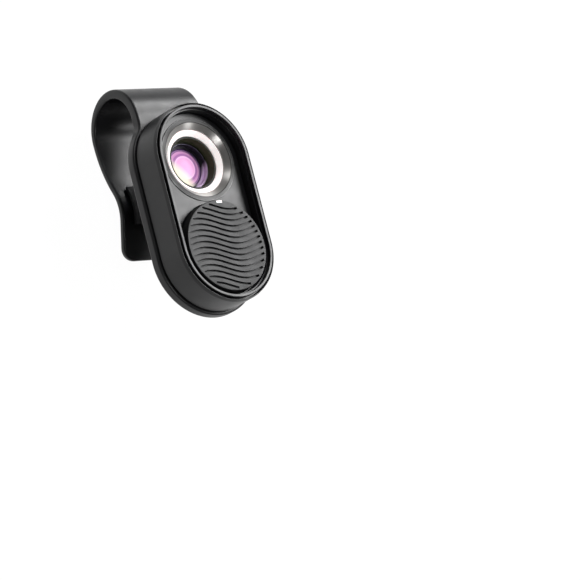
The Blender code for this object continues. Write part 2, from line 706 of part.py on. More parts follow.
def make_socket():
    back = HOUSING_BACK
    front = back - SOCKET_T
    half = SOCKET_W / 2
    inside = HOUSING_R - SOCKET_L
    shell = block("charging_socket", (inside, SOCKET_Y - half, front), (HOUSING_R - SEAT, SOCKET_Y + half, back), STEEL)
    soften(shell, SOCKET_WALL)
    wall = SOCKET_WALL
    low = (inside + wall, SOCKET_Y - half + wall, front + wall)
    high = (HOUSING_R + CUT_PAST, SOCKET_Y + half - wall, back - wall)
    cut(shell, block("socket_mouth", low, high, STEEL))
    middle = (front + back) / 2
    low = (inside + wall / 2, SOCKET_Y - half + 3 * wall, middle - TONGUE_T / 2)
    high = (inside + TONGUE_L, SOCKET_Y + half - 3 * wall, middle + TONGUE_T / 2)
    join(shell, block("socket_tongue", low, high, STEEL))


def make_battery():
    x_low, x_high, y_low, y_high = battery_box(0.0)
    floor = PLATE_FRONT + POCKET_DEPTH - SOLDER_GAP
    tape_front = floor - TAPE_T
    block("battery_tape", (x_low, y_low, tape_front), (x_high, y_high, floor), TAPE)
    back = tape_front - SOLDER_GAP
    cell = block("battery", (x_low, y_low, back - BATTERY_T), (x_high, y_high, back), FOIL)
    soften(cell, BATTERY_T / 4)
    for name, side, material in (("positive", 1, RED), ("negative", -1, BLACK)):
        lead = bpy.data.curves.new("battery_lead_" + name, "CURVE")
        lead.dimensions = "3D"
        lead.bevel_depth = LEAD_R
        lead.bevel_resolution = 2
        lead.use_fill_caps = True
        start_y = y_high + SEAT
        low = back - BATTERY_T / 2
        top = BOARD_DEPTH + BOARD_T + SEAT
        rise = low - top
        points = [(start_y, low), (start_y + LEAD_RUN - rise, low)]
        for k in range(1, 7):
            turn = math.pi / 2 * k / 6
            points.append((start_y + LEAD_RUN - rise + rise * math.sin(turn), low - rise * (1 - math.cos(turn))))
        spline = lead.splines.new("POLY")
        spline.points.add(len(points) - 1)
        for point, (y, depth) in zip(spline.points, points):
            point.co = (side * LEAD_X, y, -depth, 1.0)
        lead.materials.append(material)
        item = bpy.data.objects.new("battery_lead_" + name, lead)
        item.parent = FRAME
        PARTS.objects.link(item)


def make_screws():
    back = PLATE_BACK - SCREW_SUNK
    tip = PILOT_END + SCREW_FIT
    for k, (centre_y, angle) in enumerate(SCREW_PLACES, start=1):
        profile = [
            (0.0, tip), (SCREW_R, tip), (SCREW_R, back - SCREW_HEAD_T), (SCREW_HEAD_R, back - SCREW_FIT),
            (SCREW_HEAD_R, back), (0.0, back),
        ]
        place = screw_place(centre_y, angle)
        screw = turned(f"screw_{k}", profile, place, STEEL, SMALL_STEPS, closed=False)
        half = SCREW_SLOT / 2
        reach = SCREW_HEAD_R + CUT_PAST
        low = (place[0] - reach, place[1] - half, back - SCREW_SLOT)
        high = (place[0] + reach, place[1] + half, back + CUT_PAST)
        cut(screw, block(f"screw_slot_{k}", low, high, STEEL))
        shade(screw)


def pusher_end():
    return BOARD_DEPTH - SOLDER_GAP - SWITCH_T - BUTTON_TRAVEL - 2 * PLUNGER_R / 5


def wave_y(x, level):
    return BUTTON_Y + level + WAVE_HEIGHT * math.cos(math.tau * (x - WAVE_CREST_X) / WAVE_LENGTH)


def wave_slope(x):
    turn = math.tau / WAVE_LENGTH
    return -WAVE_HEIGHT * turn * math.sin(turn * (x - WAVE_CREST_X))


def wave_span(level):
    """The stretch of one wave that lies inside the plain edge of the cap."""
    limit = BUTTON_R - WAVE_MARGIN
    steps = 240
    inside = []
    for k in range(steps + 1):
        x = limit * (2.0 * k / steps - 1.0)
        if x ** 2 + (wave_y(x, level) - BUTTON_Y) ** 2 < limit ** 2:
            inside.append(x)
    return (min(inside), max(inside)) if inside else None


def wave_outline(start, end, level):
    steps = max(2, round((end - start) / WAVE_STEP))
    upper, lower = [], []
    for k in range(steps + 1):
        x = start + (end - start) * k / steps
        slope = wave_slope(x)
        size = math.hypot(1.0, slope)
        dx, dy = -slope / size * WAVE_WIDTH / 2, WAVE_WIDTH / 2 / size
        upper.append((x + dx, wave_y(x, level) + dy))
        lower.append((x - dx, wave_y(x, level) - dy))
    return lower + list(reversed(upper))


def make_button():
    skirt_in = BUTTON_R - BUTTON_SKIRT_T
    skirt_end = DECK_BACK + LIP_RISE
    ceiling = BUTTON_CAP_T
    profile = [
        (0.0, 0.0), (BUTTON_R - BUTTON_EDGE, 0.0), (BUTTON_R, BUTTON_EDGE), (BUTTON_R, skirt_end),
        (skirt_in, skirt_end), (skirt_in, ceiling), (PUSHER_R, ceiling), (PUSHER_R, pusher_end()), (0.0, pusher_end()),
    ]
    cap = turned("light_button", profile, (0.0, BUTTON_Y), SATIN, 2 * ARC_STEPS, closed=False)
    tab_front = DECK_BACK + SEAT
    for k, degrees in enumerate(TAB_ANGLES, start=1):
        reach = BUTTON_R + BUTTON_GAP + TAB_REACH
        low = (skirt_in + BUTTON_SKIRT_T / 4, -TAB_W / 2, tab_front)
        tab = block(f"button_tab_{k}", low, (reach, TAB_W / 2, tab_front + TAB_T), SATIN)
        tab.location = (0.0, BUTTON_Y, 0.0)
        tab.rotation_euler = (0.0, 0.0, math.radians(degrees))
        join(cap, tab)
    loops = []
    for k in range(WAVE_COUNT):
        level = (k - (WAVE_COUNT - 1) / 2) * WAVE_PITCH
        span = wave_span(level)
        if span:
            loops.append(wave_outline(span[0], span[1], level))
    cut(cap, flat_solid("wave_grooves", loops, -CUT_PAST, WAVE_DEPTH, SATIN))
    pipe_y = BUTTON_Y + BUTTON_R - PIPE_EDGE - PIPE_T / 2
    half_w, half_t = PIPE_W / 2, PIPE_T / 2
    spare = SOLDER_GAP
    low = (PIPE_X - half_w - spare, pipe_y - half_t - spare, -CUT_PAST)
    high = (PIPE_X + half_w + spare, pipe_y + half_t + spare, skirt_end + CUT_PAST)
    cut(cap, block("pipe_slot", low, high, SATIN))
    low = (PIPE_X - half_w, pipe_y - half_t, 0.0)
    block("indicator_light_pipe", low, (PIPE_X + half_w, pipe_y + half_t, skirt_end), WHITE)
    shade(cap)


make_clip()
make_pads()
make_housing()
make_bezel()
LENS_AXIS = make_lens_group()
make_optics(LENS_AXIS)
make_board()
make_socket()
make_battery()
make_screws()
make_button()
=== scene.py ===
# %% [markdown]
# # A clip-on microscope
# The object is a small lens with its own light, on a springy clip. The frame that is loaded first holds the
# exact solids. This lesson dresses them: fine meshes for what the eye sees, and a finish for every piece.

# %% Load the frame
import math

import bmesh
import bpy
from mathutils import Matrix, Vector


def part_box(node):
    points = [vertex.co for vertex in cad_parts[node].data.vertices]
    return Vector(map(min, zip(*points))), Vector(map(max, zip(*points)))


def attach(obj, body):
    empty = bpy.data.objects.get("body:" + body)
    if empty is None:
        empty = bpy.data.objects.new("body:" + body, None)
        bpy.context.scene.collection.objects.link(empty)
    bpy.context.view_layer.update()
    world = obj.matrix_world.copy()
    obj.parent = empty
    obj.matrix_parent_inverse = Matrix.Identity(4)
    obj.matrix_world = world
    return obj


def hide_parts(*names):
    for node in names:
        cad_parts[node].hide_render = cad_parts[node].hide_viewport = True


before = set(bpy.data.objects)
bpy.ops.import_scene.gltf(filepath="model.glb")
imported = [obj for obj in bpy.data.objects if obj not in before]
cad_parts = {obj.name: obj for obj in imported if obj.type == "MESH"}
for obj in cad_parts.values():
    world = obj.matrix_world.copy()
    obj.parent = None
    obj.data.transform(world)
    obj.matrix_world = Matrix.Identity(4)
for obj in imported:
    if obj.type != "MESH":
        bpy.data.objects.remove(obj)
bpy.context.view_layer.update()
MM = 0.001
print("solids in the frame:", len(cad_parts))

# %% [markdown]
# ## Where things are
# Every height is a depth below the top of the light button, as a maker would measure it on the bench. The
# two round ends of the body have their axes 18 mm apart, each 9 mm from the middle. Lengths are written in
# millimetres and become metres where a point is made.

# %% Axes and depths
def middle_along(node):
    low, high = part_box(node)
    return (low[1] + high[1]) / 2


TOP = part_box("light_button")[1][2]
BUTTON_Y = middle_along("switch_body")
LENS_Y = middle_along("front_lens")
MIDDLE_Y = (BUTTON_Y + LENS_Y) / 2
HALF_SPAN = 9.0


def at_depth(depth):
    return TOP - depth * MM


print("axes at y =", round(BUTTON_Y / MM, 2), "and", round(LENS_Y / MM, 2), "mm")

# %% [markdown]
# ## Colours and nodes
# Colours are written the way a picture editor shows them and turned to linear light by one function. One
# more function adds a shader node with its settings and its links, so that each material reads as a list.

# %% Helpers for materials
def colour(code):
    parts = [int(code[k:k + 2], 16) / 255 for k in (1, 3, 5)]
    linear = [c / 12.92 if c <= 0.04045 else ((c + 0.055) / 1.055) ** 2.4 for c in parts]
    return (*linear, 1.0)


def add_node(tree, kind, settings=None, **inputs):
    node = tree.nodes.new(kind)
    for name, value in (settings or {}).items():
        setattr(node, name, value)
    for name, value in inputs.items():
        key = int(name[1:]) if name[0] == "n" and name[1:].isdigit() else name.replace("_", " ")
        if isinstance(value, bpy.types.NodeSocket):
            tree.links.new(value, node.inputs[key])
        else:
            node.inputs[key].default_value = value
    return node


def new_material(name, base, roughness, **constants):
    material = bpy.data.materials.new(name)
    material.use_nodes = True
    shader = material.node_tree.nodes["Principled BSDF"]
    shader.inputs["Base Color"].default_value = colour(base)
    shader.inputs["Roughness"].default_value = roughness
    for key, value in constants.items():
        shader.inputs[key.replace("_", " ")].default_value = value
    return material, material.node_tree, shader


print("white in linear light:", colour("#FFFFFF"))

# %% [markdown]
# ## Moulded ABS
# The body is injection moulded in black ABS. The steel tool was spark eroded, which leaves a fine grain, so
# the plastic has a satin sheen in place of a mirror's. The real grain is about 0.05 mm and too fine to show,
# so it is drawn two or three times as coarse. A wider noise stands for the faint unevenness of the sheen.
# One recipe serves the three blacks of body, trim and button, which differ in how fine the tool was and in
# how much they shine.

# %% Black plastics
SHEEN_MM = 2.5


def moulded_plastic(name, base, roughness, grain_mm, relief_mm, **constants):
    material, tree, shader = new_material(name, base, roughness, IOR=1.53, **constants)
    place = add_node(tree, "ShaderNodeTexCoord").outputs["Object"]
    grain = add_node(
        tree, "ShaderNodeTexNoise", Vector=place, Scale=1 / (grain_mm * MM), Detail=3.0
    )
    bump = add_node(
        tree, "ShaderNodeBump", Height=grain.outputs["Fac"], Distance=relief_mm * MM, Strength=0.35
    )
    tree.links.new(bump.outputs["Normal"], shader.inputs["Normal"])
    sheen = add_node(
        tree, "ShaderNodeTexNoise", Vector=place, Scale=1 / (SHEEN_MM * MM), Detail=2.0
    )
    spread = add_node(
        tree, "ShaderNodeMapRange", n0=sheen.outputs["Fac"],
        n1=0.3, n2=0.7, n3=roughness - 0.03, n4=roughness + 0.04
    )
    tree.links.new(spread.outputs["Result"], shader.inputs["Roughness"])
    return material


BLACK = "#151517"
BODY_ABS = moulded_plastic(
    "black ABS, moulded in a spark eroded tool", BLACK, roughness=0.37, grain_mm=0.16,
    relief_mm=0.012, Specular_IOR_Level=0.32
)
TRIM_ABS = moulded_plastic(
    "black ABS, moulded in a fine tool", BLACK, roughness=0.34, grain_mm=0.12,
    relief_mm=0.008, Specular_IOR_Level=0.32
)
BUTTON_ABS = moulded_plastic(
    "black ABS, moulded with wave grooves", BLACK, roughness=0.5, grain_mm=0.12,
    relief_mm=0.010, Specular_IOR_Level=0.3
)
print("plastics:", BODY_ABS.name, "|", TRIM_ABS.name, "|", BUTTON_ABS.name)

# %% [markdown]
# ## Colours that follow the radius
# Everything in the lens group is round about one axis. So its tints are read by the distance from that axis:
# the Object coordinates are centred on it and their height is dropped. A second set of tints can come in
# over one side: a painted reflection, as a picture of the lamp lies in a lens.

# %% Tints round the lens axis
def round_axis(tree):
    place = add_node(tree, "ShaderNodeTexCoord").outputs["Object"]
    centred = add_node(tree, "ShaderNodeMapping", Vector=place, Location=(0.0, -LENS_Y, 0.0))
    flat = add_node(
        tree, "ShaderNodeVectorMath", {"operation": "MULTIPLY"},
        n0=centred.outputs[0], n1=(1.0, 1.0, 0.0)
    )
    return flat.outputs["Vector"]


def ramp_by_radius(tree, flat, stops):
    """Colours in steps from the axis outwards. Each stop is a radius in mm and a colour."""
    reach = stops[-1][0]
    radius = add_node(tree, "ShaderNodeVectorMath", {"operation": "LENGTH"}, n0=flat)
    share = add_node(
        tree, "ShaderNodeMath", {"operation": "DIVIDE"}, n0=radius.outputs["Value"], n1=reach * MM
    )
    ramp = add_node(tree, "ShaderNodeValToRGB", Fac=share.outputs[0])
    ramp.color_ramp.elements.remove(ramp.color_ramp.elements[0])
    for k, (place, code) in enumerate(stops):
        stop = ramp.color_ramp.elements[0] if k == 0 else ramp.color_ramp.elements.new(place / reach)
        stop.position = place / reach
        stop.color = colour(code)
    return ramp.outputs["Color"]


def painted_reflection_side(tree, flat, tint, stops, way, start_mm, end_mm, share):
    """A painted reflection: second colours over one side of the axis, between two distances from it."""
    other = ramp_by_radius(tree, flat, stops)
    lean = add_node(
        tree, "ShaderNodeVectorMath", {"operation": "DOT_PRODUCT"}, n0=flat, n1=(*way, 0.0)
    )
    part = add_node(
        tree, "ShaderNodeMapRange", n0=lean.outputs["Value"],
        n1=start_mm * MM, n2=end_mm * MM, n3=0.0, n4=share
    )
    both = add_node(
        tree, "ShaderNodeMix", {"data_type": "RGBA"}, n0=part.outputs["Result"], n6=tint, n7=other
    )
    return both.outputs[2]


print("tints are centred on y =", round(LENS_Y / MM, 2), "mm")

# %% [markdown]
# ## Turned aluminium
# The ring round the lens is turned on a lathe. The tool leaves rings finer than the eye can part, and they
# spread every highlight across the cut, so bright and dark wedges stand round the axis. Cycles makes this
# from an anisotropic shader, which spreads a highlight along its tangent, so the tangent points straight
# away from the axis. Noise read by radius alone adds the few coarser rings that do show, 0.15 mm or so apart.
# The lens barrel is turned too, and dyed black, which leaves little of the metal's shine.

# %% Metals
def turned_metal(name, stops, roughness, anisotropy, ring_mm, relief_mm, side=None, **constants):
    material, tree, shader = new_material(
        name, stops[0][1], roughness, Anisotropic=anisotropy, **constants
    )
    flat = round_axis(tree)
    tint = ramp_by_radius(tree, flat, stops)
    if side:
        tint = painted_reflection_side(tree, flat, tint, **side)
    unit = add_node(tree, "ShaderNodeVectorMath", {"operation": "NORMALIZE"}, n0=flat)
    tree.links.new(unit.outputs["Vector"], shader.inputs["Tangent"])
    tree.links.new(tint, shader.inputs["Base Color"])
    radius = add_node(tree, "ShaderNodeVectorMath", {"operation": "LENGTH"}, n0=flat)
    rings = add_node(
        tree, "ShaderNodeTexNoise", {"noise_dimensions": "1D"},
        W=radius.outputs["Value"], Scale=1 / (ring_mm * MM)
    )
    bump = add_node(
        tree, "ShaderNodeBump", Height=rings.outputs["Fac"], Distance=relief_mm * MM, Strength=0.5
    )
    tree.links.new(bump.outputs["Normal"], shader.inputs["Normal"])
    return material


# The dish is the aluminium's own grey up to the crest. The darker band over the crest and flange is a painted
# reflection of the dark wall, and the lighter ring at its outer edge is a painted highlight.
DISH_GREY_AND_PAINTED_LIGHT = [
    (6.4, "#A4A2A0"), (7.42, "#989694"), (7.5, "#343434"), (8.22, "#4A4A4A"), (8.28, "#6E6E6E"),
]
DISH_METAL = turned_metal(
    "aluminium, turned", DISH_GREY_AND_PAINTED_LIGHT, roughness=0.31, anisotropy=0.85, ring_mm=0.15,
    relief_mm=0.006, Metallic=1.0
)
# The barrel's tones are dark. The thin light violet ring at 4.475 mm, on the inner edge of its ledge, is a
# painted highlight.
BARREL_TINTS_AND_PAINTED_EDGE = [
    (3.9, "#1E1C20"), (4.4, "#2A2830"), (4.455, "#2E2B36"), (4.475, "#8A86A0"),
    (4.52, "#1E1D1C"), (4.88, "#26261E"), (4.93, "#4C5238"), (5.0, "#121210"),
]
# A painted reflection: a pale violet glint laid over one side of the bore.
PAINTED_GLINT_TINTS = [(4.6, "#DCC0E4"), (4.8, "#26261E"), (4.93, "#4C5238"), (5.0, "#121210")]
PAINTED_GLINT_SIDE = dict(stops=PAINTED_GLINT_TINTS, way=(0.85, -0.53), start_mm=3.3, end_mm=4.1, share=0.9)
BARREL_METAL = turned_metal(
    "aluminium, turned and black anodised", BARREL_TINTS_AND_PAINTED_EDGE, roughness=0.42, anisotropy=0.4,
    ring_mm=0.2, relief_mm=0.01, side=PAINTED_GLINT_SIDE, Metallic=0.3, Specular_IOR_Level=0.14
)
print("metals:", DISH_METAL.name, "|", BARREL_METAL.name)

# %% [markdown]
# ## Opal acrylic
# The light guide is acrylic with a white filler, moulded. Light enters it a little way and comes out beside
# where it went in, which is what the subsurface weight gives. The radius is a millimetre or so. The LEDs
# below it light it, which a weak glow of its own stands for.

# %% White plastic
CLOUD_MM, DEEP_MM = 1.5, 0.8


def opal_plastic(name, base):
    material, tree, shader = new_material(
        name, base, 0.35, IOR=1.49, Subsurface_Weight=0.5, Emission_Strength=0.25
    )
    shader.inputs["Emission Color"].default_value = colour("#FFF1EE")
    shader.inputs["Subsurface Radius"].default_value = (1.0, 0.7, 0.7)
    shader.inputs["Subsurface Scale"].default_value = DEEP_MM * MM
    place = add_node(tree, "ShaderNodeTexCoord").outputs["Object"]
    cloud = add_node(
        tree, "ShaderNodeTexNoise", Vector=place, Scale=1 / (CLOUD_MM * MM), Detail=2.0
    )
    spread = add_node(
        tree, "ShaderNodeMapRange", n0=cloud.outputs["Fac"], n1=0.3, n2=0.7, n3=0.30, n4=0.42
    )
    tree.links.new(spread.outputs["Result"], shader.inputs["Roughness"])
    return material


OPAL = opal_plastic("acrylic, opal and moulded", "#F8EEEE")
print("white:", OPAL.name)

# %% [markdown]
# ## Coated glass
# The front lens carries a coating that sends back a pink and violet light. Its tint shifts from the middle
# to the edge as the glass steepens, and the images of the lens edges lie in it as rings. These reflections
# are painted into the colour: a colour ramp read by the radius paints the tint and the rings, and one side
# turns to cream, a painted reflection of the bright ring. Both lenses take the cream side.

# %% Lens glass
# A painted reflection of the bright ring: cream over one side of each lens.
PAINTED_CREAM_REFLECTION = dict(
    stops=[(3.85, "#F4EDD6")], way=(-0.75, -0.66), start_mm=0.4, end_mm=1.9, share=0.95
)


def coated_glass(name, stops):
    material, tree, shader = new_material(name, stops[0][1], 0.2, IOR=1.52, Specular_IOR_Level=0.1)
    flat = round_axis(tree)
    tint = painted_reflection_side(tree, flat, ramp_by_radius(tree, flat, stops), **PAINTED_CREAM_REFLECTION)
    tree.links.new(tint, shader.inputs["Base Color"])
    return material


# The stops paint the coating's pink and violet reflection, with the images of the lens edges as rings.
FRONT_GLASS = coated_glass("glass, polished and coated", [
    (0.0, "#D394C4"), (1.9, "#DCA0CE"), (2.3, "#EEC0E2"), (2.42, "#AE78AE"), (2.75, "#A06CA4"),
    (2.95, "#D294C8"), (3.35, "#E0AAD6"), (3.5, "#7E5088"), (3.62, "#B48CC0"), (3.85, "#4A3A5C"),
])
# The rear lens's violet blue, darker towards its edge, is a painted coating reflection too.
REAR_GLASS = coated_glass("glass, polished, rear", [
    (0.0, "#8A7AA8"), (2.6, "#5D6FA0"), (3.7, "#23283A"),
])
print("glass:", FRONT_GLASS.name, "|", REAR_GLASS.name)

# %% [markdown]
# ## The other finishes
# Someone may open the body and look, so what lies inside and behind gets a finish too, with a small pattern
# at its own scale. Moulded silicone is matte and gives no highlight. Zinc plate has a cloudy shine and nickel
# plate a smoother one. Solder mask is a glossy green film, and a chip's moulded epoxy a dull black one. The
# cell wears a foil with a soft metal shine, its tape is dull foam, and its leads have a silky rubber jacket.
# An LED is a white package with a yellow phosphor.

# %% Remaining materials
def patterned(name, base, other, roughness, size_mm, relief_mm=0.0, **constants):
    material, tree, shader = new_material(name, base, roughness, **constants)
    place = add_node(tree, "ShaderNodeTexCoord").outputs["Object"]
    grain = add_node(
        tree, "ShaderNodeTexNoise", Vector=place, Scale=1 / (size_mm * MM), Detail=2.0
    )
    tint = add_node(
        tree, "ShaderNodeMix", {"data_type": "RGBA"},
        n0=grain.outputs["Fac"], n6=colour(base), n7=colour(other)
    )
    tree.links.new(tint.outputs[2], shader.inputs["Base Color"])
    if relief_mm:
        bump = add_node(
            tree, "ShaderNodeBump", Height=grain.outputs["Fac"],
            Distance=relief_mm * MM, Strength=0.4
        )
        tree.links.new(bump.outputs["Normal"], shader.inputs["Normal"])
    return material


SILICONE = patterned("silicone, moulded and matte", "#1B1B1D", "#232326", 0.75, 0.3, 0.01, IOR=1.41)
ZINC = patterned("steel, zinc plated", "#A9ABAD", "#8D8F93", 0.28, 0.6, Metallic=1.0)
NICKEL = patterned("steel, stamped and nickel plated", "#B4B3AE", "#9C9B97", 0.25, 1.2, Metallic=1.0)
BOARD_GREEN = patterned("glass epoxy with green solder mask", "#14432A", "#0F3722", 0.35, 1.0, IOR=1.5)
BOARD_BLACK = patterned("epoxy, moulded chip package", "#1A1A1C", "#222224", 0.5, 0.2, 0.01)
FOIL = patterned("aluminium laminate, pouch", "#A7A9AC", "#96989C", 0.35, 1.5, 0.02, Metallic=0.8)
TAPE = patterned("acrylic foam tape", "#DAD8D0", "#C9C7BF", 0.9, 0.15, 0.02)
RED_LEAD = patterned("silicone wire jacket, red", "#A01818", "#8E1414", 0.5, 0.5)
BLACK_LEAD = patterned("silicone wire jacket, black", "#1C1C1C", "#262626", 0.5, 0.5)
LED_BODY = patterned("LED package with phosphor", "#F2EFE4", "#EADF9C", 0.3, 0.8)
print("materials:", len(bpy.data.materials))

# %% [markdown]
# ## From a shape to a finished piece
# Every mesh goes the same way. It takes its name and its material, and edges steeper than 32 degrees are
# kept sharp. Modifiers are turned into a plain mesh before the piece is handed over.

# %% Finishing a mesh
SHARP = math.radians(32.0)
WELD = 0.0005 * MM


def place_in_scene(name, data):
    item = bpy.data.objects.new(name, data)
    bpy.context.scene.collection.objects.link(item)
    return item


def weld(work, mesh):
    """Joins doubled points, turns the faces outwards and writes the result to a mesh."""
    bmesh.ops.remove_doubles(work, verts=work.verts, dist=WELD)
    bmesh.ops.recalc_face_normals(work, faces=work.faces)
    work.to_mesh(mesh)
    work.free()


def finish_mesh(name, mesh, material):
    mesh.name = name
    mesh.materials.clear()
    mesh.materials.append(material)
    mesh.shade_smooth()
    mesh.set_sharp_from_angle(angle=SHARP)
    return place_in_scene(name, mesh)


def as_mesh(item):
    """The object's final shape as a plain mesh. The object itself is removed."""
    bpy.context.view_layer.update()
    depsgraph = bpy.context.evaluated_depsgraph_get()
    mesh = bpy.data.meshes.new_from_object(item.evaluated_get(depsgraph))
    bpy.data.objects.remove(item, do_unlink=True)
    return mesh


def settle(piece, body, *nodes):
    """Keeps flat faces flat beside their rounded edges, hides the solids it stands for, then hands the piece
    to its body.
    """
    flat = piece.modifiers.new("flat faces", "WEIGHTED_NORMAL")
    flat.keep_sharp = True
    name = piece.name
    piece = place_in_scene(name, as_mesh(piece))
    piece.data.name = name
    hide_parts(*nodes)
    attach(piece, body)
    return piece


print("points closer than", WELD / MM, "mm are joined")

# %% [markdown]
# ## Shapes that follow the outline
# Two helpers make nearly every form. A sweep carries a profile of radius and depth round the body's outline,
# or round one axis when both ends of the outline are the same. A slab fills a flat outline with its holes
# and gives it a thickness, for which a filled curve is the shortest way.

# %% Sweep and slab
def outline(radius, low_y, high_y, steps):
    points = []
    for centre_y, start in ((high_y, 0.0), (low_y, math.pi)):
        for k in range(steps + 1):
            turn = start + math.pi * k / steps
            points.append((radius * math.cos(turn), centre_y + radius * math.sin(turn)))
    return points


def round_loop(radius_mm, centre_y, steps=64):
    return outline(radius_mm * MM, centre_y, centre_y, steps)


def rectangle(left, low, right, high):
    return [(left, low), (right, low), (right, high), (left, high)]


def sweep(name, profile, material, low_y=LENS_Y, high_y=LENS_Y, steps=72, closed=True):
    work = bmesh.new()
    rings = []
    for radius, depth in profile:
        loop = outline(radius * MM, low_y, high_y, steps)
        rings.append([work.verts.new((x, y, at_depth(depth))) for x, y in loop])
    pairs = list(zip(rings, rings[1:]))
    if closed:
        pairs.append((rings[-1], rings[0]))
    for first, second in pairs:
        for k in range(len(first)):
            after = (k + 1) % len(first)
            work.faces.new((first[k], first[after], second[after], second[k]))
    mesh = bpy.data.meshes.new(name)
    weld(work, mesh)
    return finish_mesh(name, mesh, material)


def slab(name, loops, front, back, material):
    shape = bpy.data.curves.new(name, "CURVE")
    shape.dimensions = "2D"
    shape.fill_mode = "BOTH"
    shape.extrude = (back - front) * MM / 2
    for loop in loops:
        spline = shape.splines.new("POLY")
        spline.points.add(len(loop) - 1)
        spline.use_cyclic_u = True
        for point, (x, y) in zip(spline.points, loop):
            point.co = (x, y, 0.0, 1.0)
    mesh = as_mesh(place_in_scene(name, shape))
    mesh.transform(Matrix.Translation((0.0, 0.0, at_depth((front + back) / 2))))
    work = bmesh.new()
    work.from_mesh(mesh)
    weld(work, mesh)
    return finish_mesh(name, mesh, material)


print("points in a round hole:", len(round_loop(1.0, LENS_Y)))

# %% [markdown]
# ## Cutting and joining
# Holes are cut with exact booleans, which keep the walls clean. Parts of one moulding that touch are kept
# as closed shells in one mesh, which is safer than a union and looks the same.

# %% Cut and merge
def cut_away(item, *tools):
    for tool in tools:
        step = item.modifiers.new("cut", "BOOLEAN")
        step.solver = "EXACT"
        step.object = tool
    name, material = item.name, item.data.materials[0]
    mesh = as_mesh(item)
    for tool in tools:
        bpy.data.objects.remove(tool, do_unlink=True)
    return finish_mesh(name, mesh, material)


def merged(first, *others):
    """One piece from several that touch, with the first one's name and material."""
    work = bmesh.new()
    for item in (first, *others):
        work.from_mesh(item.data)
    mesh = bpy.data.meshes.new(first.name)
    work.to_mesh(mesh)
    work.free()
    name, material = first.name, first.data.materials[0]
    for item in (first, *others):
        bpy.data.objects.remove(item, do_unlink=True)
    return finish_mesh(name, mesh, material)


print("cut and merge are ready")

# %% [markdown]
# ## Profiles with rounded corners
# No moulded or turned edge is truly sharp, and it is the small radius that catches the light. A profile is
# therefore a list of corners: radius, depth and rounding, all in millimetres, in order round the section.

# %% Rounded profiles
CORNER_STEPS = 4


def rounded(corner_from, corner, corner_to, radius):
    """Points of a rounded corner in a profile, in mm."""
    a = (Vector(corner_from) - Vector(corner)).normalized()
    b = (Vector(corner_to) - Vector(corner)).normalized()
    half = a.angle(b) / 2
    reach = radius / math.tan(half)
    centre = Vector(corner) + (a + b).normalized() * radius / math.sin(half)
    start = Vector(corner) + a * reach - centre
    end = Vector(corner) + b * reach - centre
    points = []
    for k in range(CORNER_STEPS + 1):
        point = centre + start.lerp(end, k / CORNER_STEPS).normalized() * radius
        points.append((point.x, point.y))
    return points


def soft_profile(corners):
    """A closed profile from (radius, depth, rounding) corners."""
    points = []
    for k, (r, d, edge) in enumerate(corners):
        before = corners[k - 1][:2]
        after = corners[(k + 1) % len(corners)][:2]
        points += rounded(before, (r, d), after, edge) if edge else [(r, d)]
    return points


print("points on one rounded corner:", CORNER_STEPS + 1)

# %% [markdown]
# ## The housing
# One black moulding: a deep side wall, and a deck sunk below the rim with a round hole for the button and
# one for the lens. The wall is a sweep round the outline and the deck is a slab with two holes. They meet
# inside the wall's foot, so no seam shows. The port for the charging socket is cut through the wall.

# %% Wall, deck and port
BODY = dict(low_y=BUTTON_Y, high_y=LENS_Y)
wall = sweep("housing", soft_profile([
    (11.0, 0.9, 0.3), (11.0, 6.68, 0.12), (9.8, 6.68, 0), (9.8, 3.4, 0), (9.4, 3.4, 0), (9.4, 2.3, 0),
    (10.7, 2.3, 0), (10.7, 0.14, 0.05), (10.82, 0.14, 0.05),
]), BODY_ABS, **BODY)
DECK_R, BUTTON_HOLE_R, LENS_HOLE_R = 9.6, 9.25, 7.35
DECK_FRONT, DECK_BACK = 2.3, 3.5
deck_loops = [
    outline(DECK_R * MM, BUTTON_Y, LENS_Y, 72),
    round_loop(BUTTON_HOLE_R, BUTTON_Y), round_loop(LENS_HOLE_R, LENS_Y),
]
deck = slab("deck", deck_loops, DECK_FRONT, DECK_BACK, BODY_ABS)
PORT_HALF, PORT_IN, PORT_OUT = 3.75, 8.6, 12.0
PORT_TOP, PORT_FOOT = 4.2, 7.2
port_y = middle_along("charging_socket")
port_loop = rectangle(PORT_IN * MM, port_y - PORT_HALF * MM, PORT_OUT * MM, port_y + PORT_HALF * MM)
wall = cut_away(wall, slab("port", [port_loop], PORT_TOP, PORT_FOOT, BODY_ABS))
print("wall with its port:", len(wall.data.polygons), "faces")

# %% [markdown]
# The four screws bite into bosses that stand against the wall. The two at the lens end reach up to the deck.
# The two at the button end are short, because the skirt of the cap moves above them.

# %% Bosses
SCREW_PLACES = [(x, y) for y in (15.117, -15.117) for x in (6.117, -6.117)]
BOSS_R, BOSS_FOOT = 1.3, 6.6
LONG_BOSS_TOP, SHORT_BOSS_TOP = 3.0, 4.95
bosses = []
for x, y in SCREW_PLACES:
    loop = [(px + x * MM, py) for px, py in round_loop(BOSS_R, MIDDLE_Y + y * MM, steps=16)]
    boss_top = LONG_BOSS_TOP if y > 0 else SHORT_BOSS_TOP
    bosses.append(slab("boss", [loop], boss_top, BOSS_FOOT, BODY_ABS))
housing = merged(wall, deck, *bosses)
housing = settle(housing, "body", "main_housing")
print("housing:", len(housing.data.polygons), "faces")

# %% [markdown]
# ## The front bezel
# A separate trim ring stands in the rim. Its lip is the highest line of the body, a dark groove parts it
# from the housing, and a narrow ledge inside it catches the light as one thin line.

